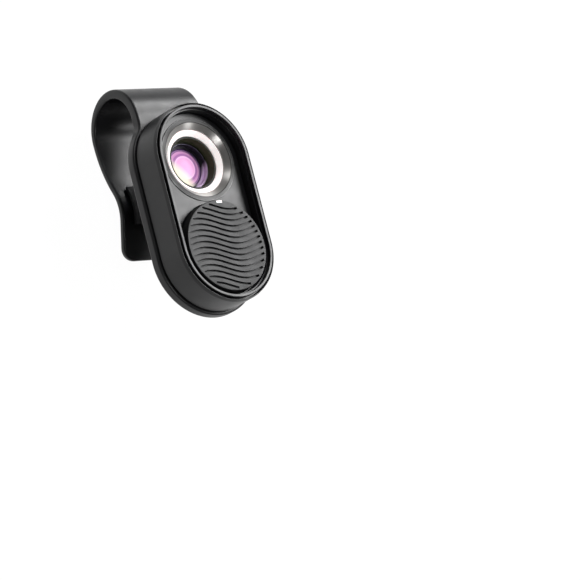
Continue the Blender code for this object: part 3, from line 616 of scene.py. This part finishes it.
# %% Bezel
bezel = sweep("bezel", soft_profile([
    (9.78, -0.19, 0.1), (10.34, -0.19, 0.12), (10.34, 1.2, 0), (10.58, 1.2, 0), (10.58, 2.2, 0),
    (9.52, 2.2, 0), (9.52, 0.7, 0.04), (9.78, 0.7, 0),
]), TRIM_ABS, **BODY)
bezel = settle(bezel, "body", "front_bezel")
print("bezel:", len(bezel.data.polygons), "faces")

# %% [markdown]
# ## The lens group
# All of it is turned or moulded round one axis: the metal dish, the white light guide that carries on its
# slope, and the black barrel with its steps. The slope falls 40 degrees towards the lens.

# %% Dish, light guide and barrel
SLOPE = math.tan(math.radians(40.0))
CREST_R, CREST_DEPTH = 7.65, 1.9


def dish_depth(radius):
    return CREST_DEPTH + (CREST_R - radius) * SLOPE


dish = sweep("reflector_dish", soft_profile([
    (6.46, dish_depth(6.46), 0.02), (7.58, dish_depth(7.58), 0.02), (7.64, 1.98, 0.02),
    (8.38, 2.14, 0.1), (8.38, 2.28, 0), (7.34, 2.28, 0), (7.2, 2.45, 0), (7.2, 3.2, 0), (6.46, 3.2, 0),
]), DISH_METAL)
guide = sweep("light_guide", soft_profile([
    (5.36, dish_depth(5.36), 0.04), (6.34, dish_depth(6.34), 0.04), (6.34, 3.3, 0), (7.1, 3.3, 0),
    (7.1, 4.0, 0), (5.36, 4.0, 0),
]), OPAL)
barrel = sweep("barrel", soft_profile([
    (4.95, 3.93, 0.05), (5.25, 3.93, 0.06), (5.25, 5.8, 0), (6.2, 5.8, 0), (6.2, 6.9, 0),
    (5.25, 6.9, 0), (5.25, 9.04, 0.06), (4.45, 9.04, 0.06), (4.45, 7.0, 0), (3.95, 7.0, 0),
    (3.95, 6.7, 0.03), (4.45, 6.7, 0), (4.45, 5.8, 0.04), (4.95, 5.8, 0),
]), BARREL_METAL)
print("depth of the dish at its mouth:", round(dish_depth(6.46), 2), "mm")

# %% [markdown]
# Both lenses bulge, the front one towards the object and the rear one towards the eye. A dome is a piece of
# a ball, given by its radius at the edge and by how far it stands out.

# %% Lenses
DOME_STEPS = 24


def dome(radius, sag, edge_depth, side):
    ball = (radius ** 2 + sag ** 2) / (2 * sag)
    points = []
    for k in range(DOME_STEPS + 1):
        r = radius * k / DOME_STEPS
        points.append((r, edge_depth - side * (math.sqrt(ball ** 2 - r ** 2) - (ball - sag))))
    return points


front_profile = dome(3.85, 0.65, 7.1, 1) + [(4.34, 7.1), (4.34, 7.45), (0.0, 7.45)]
rear_profile = [(0.0, 7.9), (4.34, 7.9), (4.34, 8.3)] + dome(3.6, 0.3, 8.3, -1)[::-1]
front_lens = sweep("front_glass", front_profile, FRONT_GLASS, closed=False)
rear_lens = sweep("rear_glass", rear_profile, REAR_GLASS, closed=False)
for piece, node in (
    (dish, "reflector_ring"), (guide, "light_guide_ring"), (barrel, "lens_barrel"),
    (front_lens, "front_lens"), (rear_lens, "rear_lens"),
):
    print("lens group:", settle(piece, "body", node).name)

# %% [markdown]
# ## Trees with named sizes
# What repeats is drawn by Geometry Nodes. One helper opens a tree with its named inputs, and another runs a
# tree on an empty mesh. A modifier knows its inputs by their identifiers, so each name is looked up first.

# %% Helpers for Geometry Nodes
FLOAT, INTEGER = "NodeSocketFloat", "NodeSocketInt"
OBJECT, FINISH = "NodeSocketObject", "NodeSocketMaterial"


def tree_with_inputs(name, sizes):
    tree = bpy.data.node_groups.new(name, "GeometryNodeTree")
    tree.interface.new_socket("Geometry", in_out="INPUT", socket_type="NodeSocketGeometry")
    for label, kind, value in sizes:
        socket = tree.interface.new_socket(label, in_out="INPUT", socket_type=kind)
        if value is not None:
            socket.default_value = value
    tree.interface.new_socket("Geometry", in_out="OUTPUT", socket_type="NodeSocketGeometry")
    start = tree.nodes.new("NodeGroupInput")
    return tree, start.outputs


def run_tree(name, tree, values, material):
    """Runs a tree on an empty mesh, with its inputs set by their identifiers, and keeps the plain mesh."""
    holder = place_in_scene(name, bpy.data.meshes.new(name))
    step = holder.modifiers.new("repeat", "NODES")
    step.node_group = tree
    for item in tree.interface.items_tree:
        if item.item_type == "SOCKET" and item.in_out == "INPUT" and item.name in values:
            step[item.identifier] = values[item.name]
    return finish_mesh(name, as_mesh(holder), material)


print("input kinds:", FLOAT, INTEGER, OBJECT, FINISH)

# %% [markdown]
# ## The wave grooves
# Fifteen grooves cross the button, all the same wave, one above the other. The tree starts with one straight
# line of points and places it once for every groove, a pitch apart and evenly about the middle.

# %% Rows of points
LINE_POINTS, LINE_HALF = 160, 9.5
waves, size = tree_with_inputs("wave_grooves", [
    ("Count", INTEGER, 15), ("Pitch", FLOAT, 1.15 * MM), ("Height", FLOAT, 0.95 * MM),
    ("Wave Length", FLOAT, 17 * MM), ("Crest", FLOAT, -5.3 * MM), ("Width", FLOAT, 0.44 * MM),
    ("Depth", FLOAT, 0.5 * MM), ("Reach", FLOAT, 8.55 * MM), ("Material", FINISH, None),
])
line = add_node(
    waves, "GeometryNodeMeshLine", {"mode": "END_POINTS"},
    Count=LINE_POINTS, Start_Location=(-LINE_HALF * MM, 0, 0)
)
line.inputs[3].default_value = (LINE_HALF * MM, 0, 0)
less = add_node(waves, "ShaderNodeMath", {"operation": "SUBTRACT"}, n0=size["Count"], n1=1.0)
span = add_node(waves, "ShaderNodeMath", {"operation": "MULTIPLY"}, n0=less.outputs[0], n1=size["Pitch"])
half = add_node(waves, "ShaderNodeMath", {"operation": "MULTIPLY"}, n0=span.outputs[0], n1=-0.5)
first = add_node(waves, "ShaderNodeCombineXYZ", Y=half.outputs[0])
step_up = add_node(waves, "ShaderNodeCombineXYZ", Y=size["Pitch"])
rows = add_node(
    waves, "GeometryNodeMeshLine",
    Count=size["Count"], Start_Location=first.outputs[0], Offset=step_up.outputs[0]
)
lines = add_node(
    waves, "GeometryNodeInstanceOnPoints", Points=rows.outputs[0], Instance=line.outputs[0]
)
drawn = add_node(waves, "GeometryNodeRealizeInstances", Geometry=lines.outputs[0])
print("nodes for the rows:", len(waves.nodes))

# %% [markdown]
# A cosine of the place along the line lifts every point, which bends the lines to waves. Points beyond the
# plain edge of the cap are then deleted, so each wave stops where the real one does.

# %% The wave
place = add_node(waves, "GeometryNodeInputPosition")
across = add_node(waves, "ShaderNodeSeparateXYZ", Vector=place.outputs[0])
along = add_node(
    waves, "ShaderNodeMath", {"operation": "SUBTRACT"}, n0=across.outputs["X"], n1=size["Crest"]
)
cycle = add_node(
    waves, "ShaderNodeMath", {"operation": "DIVIDE"}, n0=along.outputs[0], n1=size["Wave Length"]
)
turn = add_node(waves, "ShaderNodeMath", {"operation": "MULTIPLY"}, n0=cycle.outputs[0], n1=math.tau)
wave = add_node(waves, "ShaderNodeMath", {"operation": "COSINE"}, n0=turn.outputs[0])
rise = add_node(waves, "ShaderNodeMath", {"operation": "MULTIPLY"}, n0=wave.outputs[0], n1=size["Height"])
offset = add_node(waves, "ShaderNodeCombineXYZ", Y=rise.outputs[0])
bent = add_node(waves, "GeometryNodeSetPosition", Geometry=drawn.outputs[0], Offset=offset.outputs[0])
place = add_node(waves, "GeometryNodeInputPosition")
reach = add_node(waves, "ShaderNodeVectorMath", {"operation": "LENGTH"}, n0=place.outputs[0])
past = add_node(
    waves, "FunctionNodeCompare", {"operation": "GREATER_THAN"},
    n0=reach.outputs["Value"], n1=size["Reach"]
)
kept = add_node(
    waves, "GeometryNodeDeleteGeometry", Geometry=bent.outputs[0], Selection=past.outputs[0]
)
print("nodes with the wave:", len(waves.nodes))

# %% [markdown]
# A narrow upright section carried along each wave makes a bar, half of it above the cap's face and half
# below. The bars are the tool that cuts the grooves, so they are closed, and their faces point outwards.

# %% Groove cutter
path = add_node(waves, "GeometryNodeMeshToCurve", Mesh=kept.outputs[0])
tall = add_node(waves, "ShaderNodeMath", {"operation": "MULTIPLY"}, n0=size["Depth"], n1=2.0)
section = add_node(
    waves, "GeometryNodeCurvePrimitiveQuadrilateral", Width=size["Width"], Height=tall.outputs[0]
)
bars = add_node(
    waves, "GeometryNodeCurveToMesh",
    Curve=path.outputs[0], Profile_Curve=section.outputs[0], Fill_Caps=True
)
solid = add_node(waves, "GeometryNodeRealizeInstances", Geometry=bars.outputs[0])
painted = add_node(
    waves, "GeometryNodeSetMaterial", Geometry=solid.outputs[0], Material=size["Material"]
)
add_node(waves, "NodeGroupOutput", Geometry=painted.outputs[0])
grooves = run_tree("wave_cutter", waves, {"Material": BUTTON_ABS}, BUTTON_ABS)
grooves.data.transform(Matrix.Translation((0.0, BUTTON_Y, TOP)))
work = bmesh.new()
work.from_mesh(grooves.data)
weld(work, grooves.data)
print("groove cutter:", len(grooves.data.polygons), "faces")

# %% [markdown]
# ## The light button
# The whole round cap is the button. It is turned as a hollow cap, cut by the grooves, and slotted at its edge
# for the small light pipe that shows when the lamp is on. The slot is a hair wider than the pipe.

# %% Button and its light pipe
cap = sweep("button_cap", soft_profile([
    (0.0, 1.2, 0), (8.2, 1.2, 0), (8.2, 3.68, 0), (9.0, 3.68, 0.1), (9.0, 0.0, 0.16), (0.0, 0.0, 0),
]), BUTTON_ABS, low_y=BUTTON_Y, high_y=BUTTON_Y, closed=False)
PIPE_LENGTH = 3.6
SLOT_TOP, SLOT_FOOT, SLOT_SPARE = -0.5, 4.5, 0.04 * MM
(left, low, _), (right, high, _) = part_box("indicator_light_pipe")
pipe = slab("light_pipe", [rectangle(left, low, right, high)], 0.0, PIPE_LENGTH, OPAL)
slot_loop = rectangle(
    left - SLOT_SPARE, low - SLOT_SPARE, right + SLOT_SPARE, high + SLOT_SPARE
)
slot = slab("pipe_slot", [slot_loop], SLOT_TOP, SLOT_FOOT, BUTTON_ABS)
button = cut_away(cap, grooves, slot)
button = settle(button, "button", "light_button")
pipe = settle(pipe, "button", "indicator_light_pipe")
print("button:", len(button.data.polygons), "faces")

# %% [markdown]
# ## The back plate and its clip
# Plate, strap and spring leg are one moulding of even thickness, so the clip is a flat blank that follows a
# path: straight along the plate, round the loop, where it thins, and back along the leg with its pinch and
# its flared tip. The path is a list of runs, each with its length and the angle through which it turns.

# %% Path of the clip
THICK, LEG_THICK = 2.15, 1.35
FRONT = 7.0
PLATE_R, HALF_STRAP, FILLET = 11.55, 7.95, 3.0
LOOP_R, LEG_R, PINCH_R, TIP_R = 7.95, 27.0, 7.5, 2.6
STRAP_LEAD = 1.3
CONVERGE, FLARE = math.radians(24.0), math.radians(20.0)
EDGE = 0.45
fillet_y = math.sqrt((PLATE_R + FILLET) ** 2 - (HALF_STRAP + FILLET) ** 2)
LOW = -HALF_SPAN - PLATE_R
LOOP_Y = HALF_SPAN + fillet_y + STRAP_LEAD
rise = (LEG_R + PINCH_R) * (1 - math.cos(CONVERGE)) - PINCH_R * (1 - math.cos(FLARE))
tip_run = (rise + EDGE * (math.sin(FLARE) + math.cos(FLARE) - 1)) / math.sin(FLARE)
TURNS = [
    (LOOP_Y - LOW, 0.0), (LOOP_R * math.pi, -math.pi), (LEG_R * CONVERGE, -CONVERGE),
    (PINCH_R * (CONVERGE + FLARE), CONVERGE + FLARE), (tip_run, 0.0),
]
CLIP_LENGTH = sum(length for length, bend in TURNS)


def clip_point(run):
    """Where the clip's outer face is, and which way it heads, after a distance along it in mm."""
    y, depth, heading = LOW, FRONT, 0.0
    for length, bend in TURNS:
        part = min(run, length)
        if bend:
            radius = length / bend
            turned = bend * part / length
            y += radius * (math.sin(heading + turned) - math.sin(heading))
            depth += radius * (math.cos(heading + turned) - math.cos(heading))
            heading += turned
        else:
            y += part * math.cos(heading)
            depth -= part * math.sin(heading)
        run -= part
        if run <= 0.0:
            break
    return y, depth, heading


def clip_thickness(run):
    share = (run - TURNS[0][0]) / TURNS[1][0]
    return THICK + (LEG_THICK - THICK) * min(max(share, 0.0), 1.0)


print("unrolled clip:", round(CLIP_LENGTH, 1), "mm long")

# %% [markdown]
# The flat blank is drawn next, as half widths along its length: the round end of the plate, the fillets where
# the strap begins, the strap of even width, and the rounded tip.

# %% Outline of the blank
def arc_points(centre, radius, start, end, steps):
    turns = [start + (end - start) * k / steps for k in range(steps + 1)]
    return [(centre[0] + radius * math.cos(a), centre[1] + radius * math.sin(a)) for a in turns]


STRAP_STEPS = 120
strap_side = HALF_STRAP + FILLET
fillet_turn = math.atan2(fillet_y, strap_side)
edge = arc_points((0.0, -HALF_SPAN), PLATE_R, -math.pi / 2, 0.0, 40)
edge += arc_points((0.0, HALF_SPAN), PLATE_R, 0.0, fillet_turn, 24)
edge += arc_points(
    (strap_side, HALF_SPAN + fillet_y), FILLET, math.pi + fillet_turn, math.pi, 12
)[1:]
blank = [(y - LOW, x) for x, y in edge]
flat_run = TURNS[0][0]
bent_run = CLIP_LENGTH - tip_run - flat_run
blank += [(flat_run + bent_run * k / STRAP_STEPS, HALF_STRAP) for k in range(STRAP_STEPS + 1)]
blank += arc_points((CLIP_LENGTH - TIP_R, HALF_STRAP - TIP_R), TIP_R, math.pi / 2, 0.0, 16)
print("stations along the blank:", len(blank))

# %% [markdown]
# The blank is bent along the path: each station becomes four corners, on the outer and the inner face, and
# the stations are joined. On the flat runs the lines between them are dissolved again. A Bevel modifier then
# softens the edges. The same helper later makes the pad on the leg.

# %% Bending a sheet
EDGE_SEGMENTS, EDGE_ANGLE = 5, math.radians(50.0)


def sheet_on_clip(name, stations, rounding, material):
    """Each station holds a run along the clip, a half width and the lifts of its two faces, in mm."""
    work = bmesh.new()
    rows = []
    for run, half_width, outer, inner in stations:
        y, depth, heading = clip_point(run)
        row = []
        for side, lift in ((-1, outer), (1, outer), (1, inner), (-1, inner)):
            corner_y = MIDDLE_Y + (y + lift * math.sin(heading)) * MM
            corner_z = at_depth(depth + lift * math.cos(heading))
            row.append(work.verts.new((side * half_width * MM, corner_y, corner_z)))
        rows.append(row)
    for before, after in zip(rows, rows[1:]):
        for k in range(4):
            work.faces.new((before[k - 1], before[k], after[k], after[k - 1]))
    work.faces.new(rows[0])
    work.faces.new(rows[-1])
    flats = [
        row for row, (run, *_) in zip(rows, stations) if run < flat_run or run > CLIP_LENGTH - TIP_R
    ]
    across = [
        work.edges.get(pair) for row in flats[1:-1] for pair in ((row[0], row[1]), (row[2], row[3]))
    ]
    bmesh.ops.dissolve_edges(work, edges=[edge for edge in across if edge], use_verts=False)
    bmesh.ops.remove_doubles(work, verts=work.verts, dist=2 * WELD)
    bmesh.ops.dissolve_degenerate(work, edges=work.edges, dist=2 * WELD)
    bmesh.ops.recalc_face_normals(work, faces=work.faces)
    mesh = bpy.data.meshes.new(name)
    work.to_mesh(mesh)
    work.free()
    sheet = place_in_scene(name, mesh)
    soft = sheet.modifiers.new("edges", "BEVEL")
    soft.width = rounding * MM
    soft.segments = EDGE_SEGMENTS
    soft.limit_method = "ANGLE"
    soft.angle_limit = EDGE_ANGLE
    return finish_mesh(name, as_mesh(sheet), material)


clip_stations = [(run, half, 0.0, clip_thickness(run)) for run, half in blank]
clip = sheet_on_clip("clip_and_plate", clip_stations, EDGE, BODY_ABS)
print("bent blank:", len(clip.data.polygons), "faces")

# %% [markdown]
# Last come the holes: the eyepiece, the recess for its soft ring and the countersunk seats of the screws. A
# low step on the plate's front face stands behind the seam to the housing and keeps it dark.

# %% Holes and seam step
EYE_R, RECESS_OUT, RECESS_IN = 5.35, 7.4, 5.8
BEFORE_PLATE, RECESS_FLOOR, PAST_PLATE = 6.0, 8.6, 11.0
eye = slab("eye", [round_loop(EYE_R, LENS_Y)], BEFORE_PLATE, PAST_PLATE, BODY_ABS)
recess_loops = [round_loop(RECESS_OUT, LENS_Y), round_loop(RECESS_IN, LENS_Y)]
recess = slab("recess", recess_loops, RECESS_FLOOR, PAST_PLATE, BODY_ABS)
SEAT_PROFILE = [(0.0, 8.3), (0.65, 8.3), (1.2, 9.1), (1.2, 10.0), (0.0, 10.0)]
seats = []
for x, y in SCREW_PLACES:
    seat = sweep("seat", SEAT_PROFILE, BODY_ABS, closed=False, steps=20)
    seat.data.transform(Matrix.Translation((x * MM, MIDDLE_Y + y * MM - LENS_Y, 0.0)))
    seats.append(seat)
clip = cut_away(clip, eye, recess, *seats)
step = sweep("seam_step", [(9.4, 6.8), (10.2, 6.8), (10.2, 7.4), (9.4, 7.4)], BODY_ABS, **BODY)
clip = merged(clip, step)
clip = settle(clip, "body", "clip_and_back_plate")
print("clip:", len(clip.data.polygons), "faces")

# %% [markdown]
# ## Soft pads
# A silicone pad sits where the leg pinches and gives the clip its grip, and a silicone ring round the
# eyepiece keeps stray light out. The pad follows the bend of the leg, so it is a sheet on the same path.

# %% Pads
PAD_LENGTH, PAD_HALF, PAD_THICK, PAD_EDGE, PAD_STEPS = 6.5, 5.5, 0.6, 0.15, 30
pinch = TURNS[0][0] + TURNS[1][0] + TURNS[2][0] + PINCH_R * CONVERGE
under = LEG_THICK + 0.1
pad_stations = [
    (pinch - PAD_LENGTH / 2 + PAD_LENGTH * k / PAD_STEPS, PAD_HALF, under, under + PAD_THICK)
    for k in range(PAD_STEPS + 1)
]
clip_pad = sheet_on_clip("leg_pad", pad_stations, PAD_EDGE, SILICONE)
pad_ring = sweep("eyepiece_ring", soft_profile([
    (5.9, 8.7, 0), (5.9, 9.3, 0.1), (7.3, 9.3, 0.1), (7.3, 8.7, 0),
]), SILICONE)
clip_pad = settle(clip_pad, "body", "clip_pad")
pad_ring = settle(pad_ring, "body", "phone_pad_ring")
print("pads:", clip_pad.name, pad_ring.name)

# %% [markdown]
# ## The screws
# The four screws are alike and stand at the corners of a rectangle, which is what a grid of two by two points
# gives. One screw is turned and its cross is cut, and the tree places a copy of it on every corner.

# %% Screws with Geometry Nodes
screw = sweep("screw_pattern", [
    (0.0, 5.3), (0.55, 5.3), (0.55, 8.5), (1.08, 8.98), (1.08, 9.1), (0.0, 9.1),
], ZINC, closed=False, steps=24)
screw.data.transform(Matrix.Translation((0.0, -LENS_Y, 0.0)))
BLADE_LONG, BLADE_THIN, CROSS_FLOOR, PAST_HEAD = 0.75, 0.14, 8.75, 9.5
cross = []
for wide, deep in ((BLADE_LONG, BLADE_THIN), (BLADE_THIN, BLADE_LONG)):
    loop = rectangle(-wide * MM, -deep * MM, wide * MM, deep * MM)
    cross.append(slab("cross", [loop], CROSS_FLOOR, PAST_HEAD, ZINC))
screw = cut_away(screw, *cross)
grid, size = tree_with_inputs("screws", [
    ("Across", FLOAT, 12.233 * MM), ("Along", FLOAT, 30.233 * MM), ("Screw", OBJECT, None),
    ("Material", FINISH, None),
])
corners = add_node(
    grid, "GeometryNodeMeshGrid",
    Size_X=size["Across"], Size_Y=size["Along"], Vertices_X=2, Vertices_Y=2
)
pattern = add_node(grid, "GeometryNodeObjectInfo", Object=size["Screw"])
placed = add_node(
    grid, "GeometryNodeInstanceOnPoints",
    Points=corners.outputs[0], Instance=pattern.outputs["Geometry"]
)
whole = add_node(grid, "GeometryNodeRealizeInstances", Geometry=placed.outputs[0])
painted = add_node(
    grid, "GeometryNodeSetMaterial", Geometry=whole.outputs[0], Material=size["Material"]
)
add_node(grid, "NodeGroupOutput", Geometry=painted.outputs[0])
screws = run_tree("screws", grid, {"Screw": screw, "Material": ZINC}, ZINC)
screws.data.transform(Matrix.Translation((0.0, MIDDLE_Y, 0.0)))
bpy.data.objects.remove(screw, do_unlink=True)
screws = settle(screws, "body", "screw_1", "screw_2", "screw_3", "screw_4")
print("screws:", len(screws.data.polygons), "faces")

# %% [markdown]
# ## The solids that stay
# The pieces inside keep their exact solids and only take a finish.

# %% Finishes for the inner solids
FINISHES = {
    "lens_spacer": BARREL_METAL, "lens_retaining_ring": BARREL_METAL,
    "circuit_board": BOARD_GREEN, "control_chip": BOARD_BLACK, "switch_body": BOARD_BLACK,
    "switch_plunger": TRIM_ABS, "indicator_led": LED_BODY, "charging_socket": NICKEL,
    "battery": FOIL, "battery_tape": TAPE,
    "battery_lead_positive": RED_LEAD, "battery_lead_negative": BLACK_LEAD,
}
for number in range(1, 7):
    FINISHES[f"led_{number}"] = LED_BODY
for node, material in FINISHES.items():
    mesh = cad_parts[node].data
    mesh.materials.clear()
    mesh.materials.append(material)
print("finished solids:", len(FINISHES))

# %% [markdown]
# ## The floor
# The microscope lies on its clip on matte white paper. The paper is a light grey that keeps the object's
# shadow. To the camera, and to rays from metal and glass, nine tenths of it is a plain white, so the
# background is white wherever it is seen or mirrored, and no lamp has to be turned up for that.

# %% Floor
FLOOR_HALF = 3.0
SHOWN_WHITE, WHITE_SHARE = 1.09, 0.9
corners = rectangle(-FLOOR_HALF, -FLOOR_HALF, FLOOR_HALF, FLOOR_HALF)
floor_mesh = bpy.data.meshes.new("floor")
floor_mesh.from_pydata([(x, y, 0) for x, y in corners], [], [(0, 1, 2, 3)])
floor = place_in_scene("floor", floor_mesh)
paper, tree, shader = new_material("paper, white and matte", "#9A9A9A", 0.9)
kinds = add_node(tree, "ShaderNodeLightPath").outputs
direct = add_node(tree, "ShaderNodeMath", n0=kinds["Is Camera Ray"], n1=kinds["Is Glossy Ray"])
seen = add_node(
    tree, "ShaderNodeMath", {"use_clamp": True},
    n0=direct.outputs[0], n1=kinds["Is Transmission Ray"]
)
glow = add_node(tree, "ShaderNodeEmission", Color=colour("#FFFFFF"), Strength=SHOWN_WHITE)
shown = add_node(
    tree, "ShaderNodeMixShader", n0=WHITE_SHARE, n1=shader.outputs[0], n2=glow.outputs[0]
)
choice = add_node(
    tree, "ShaderNodeMixShader", n0=seen.outputs[0], n1=shader.outputs[0], n2=shown.outputs[0]
)
tree.links.new(choice.outputs[0], tree.nodes["Material Output"].inputs["Surface"])
floor_mesh.materials.append(paper)
print("floor:", 2 * FLOOR_HALF, "m square")

# %% [markdown]
# ## The light
# One broad soft lamp stands where the flat black faces mirror it to the camera, which turns them mid grey.
# Five small lamps stand where the turned dish mirrors them as bright wedges, and one more lights the strap.
# The fill and the world are weak, so that the black stays black.

# %% World and lamps
WORLD_STRENGTH = 0.10
LAMP_AIM = Vector((0.0, MIDDLE_Y, 0.015))
world = bpy.data.worlds.new("studio")
world.use_nodes = True
bpy.context.scene.world = world
back = world.node_tree.nodes["Background"]
back.inputs["Color"].default_value = colour("#FFFFFF")
back.inputs["Strength"].default_value = WORLD_STRENGTH


def softbox(name, direction, distance, side, strength):
    """A square soft lamp whose face has the given brightness, where 1 is white."""
    lamp = bpy.data.lights.new(name, "AREA")
    lamp.shape = "RECTANGLE"
    lamp.size, lamp.size_y = side, side
    lamp.energy = strength * math.pi * side * side
    holder = place_in_scene(name, lamp)
    way = Vector(direction).normalized()
    holder.location = LAMP_AIM + way * distance
    holder.rotation_euler = way.to_track_quat("Z", "Y").to_euler()


softbox("key", (0.627, 0.211, 0.75), distance=0.8, side=0.38, strength=15.4)
WEDGES = {
    "wedge_right": (-0.30, -0.33, 0.895), "wedge_low_right": (-0.10, 0.63, 0.77),
    "wedge_top": (0.627, -0.45, 0.64), "wedge_bottom": (0.627, 0.66, 0.41),
    "wedge_left": (0.95, 0.211, 0.22),
}
for name, way in WEDGES.items():
    softbox(name, way, distance=0.8, side=0.17, strength=15.0)
softbox("strap", (0.63, 0.61, 0.47), distance=0.8, side=0.34, strength=7.0)
softbox("fill", (-0.5, -0.6, 0.9), distance=1.2, side=0.6, strength=0.3)
print("lamps:", len(bpy.data.lights))

# %% [markdown]
# ## The camera
# The camera looks down on the front at a slant, from two thirds of a metre through a long lens. Its two
# directions are unit vectors of the picture: to the right, and away into it. The button's top is the point
# from which it is set aside, so that the object stands at the upper left of the frame.

# %% Camera
LENS_LENGTH, SENSOR = 220.3, 36.0
ASIDE, BELOW, BACKWARD = 11.81 * MM, 8.47 * MM, 669.8 * MM
right = Vector((0.776, -0.245, 0.580)).normalized()
away = Vector((0.627, 0.211, -0.750)).normalized()
down = away.cross(right).normalized()
right = down.cross(away).normalized()
aim = Vector((0.0, BUTTON_Y, TOP))
camera_data = bpy.data.cameras.new("camera")
camera_data.lens = LENS_LENGTH
camera_data.sensor_width = SENSOR
camera_data.clip_start = 0.01
camera = place_in_scene("camera", camera_data)
camera.location = aim + right * ASIDE + down * BELOW - away * BACKWARD
camera.rotation_euler = Matrix((right, -down, -away)).transposed().to_euler()
bpy.context.scene.camera = camera
bpy.context.scene.view_settings.view_transform = "Standard"
print("camera at", [round(v, 3) for v in camera.location])
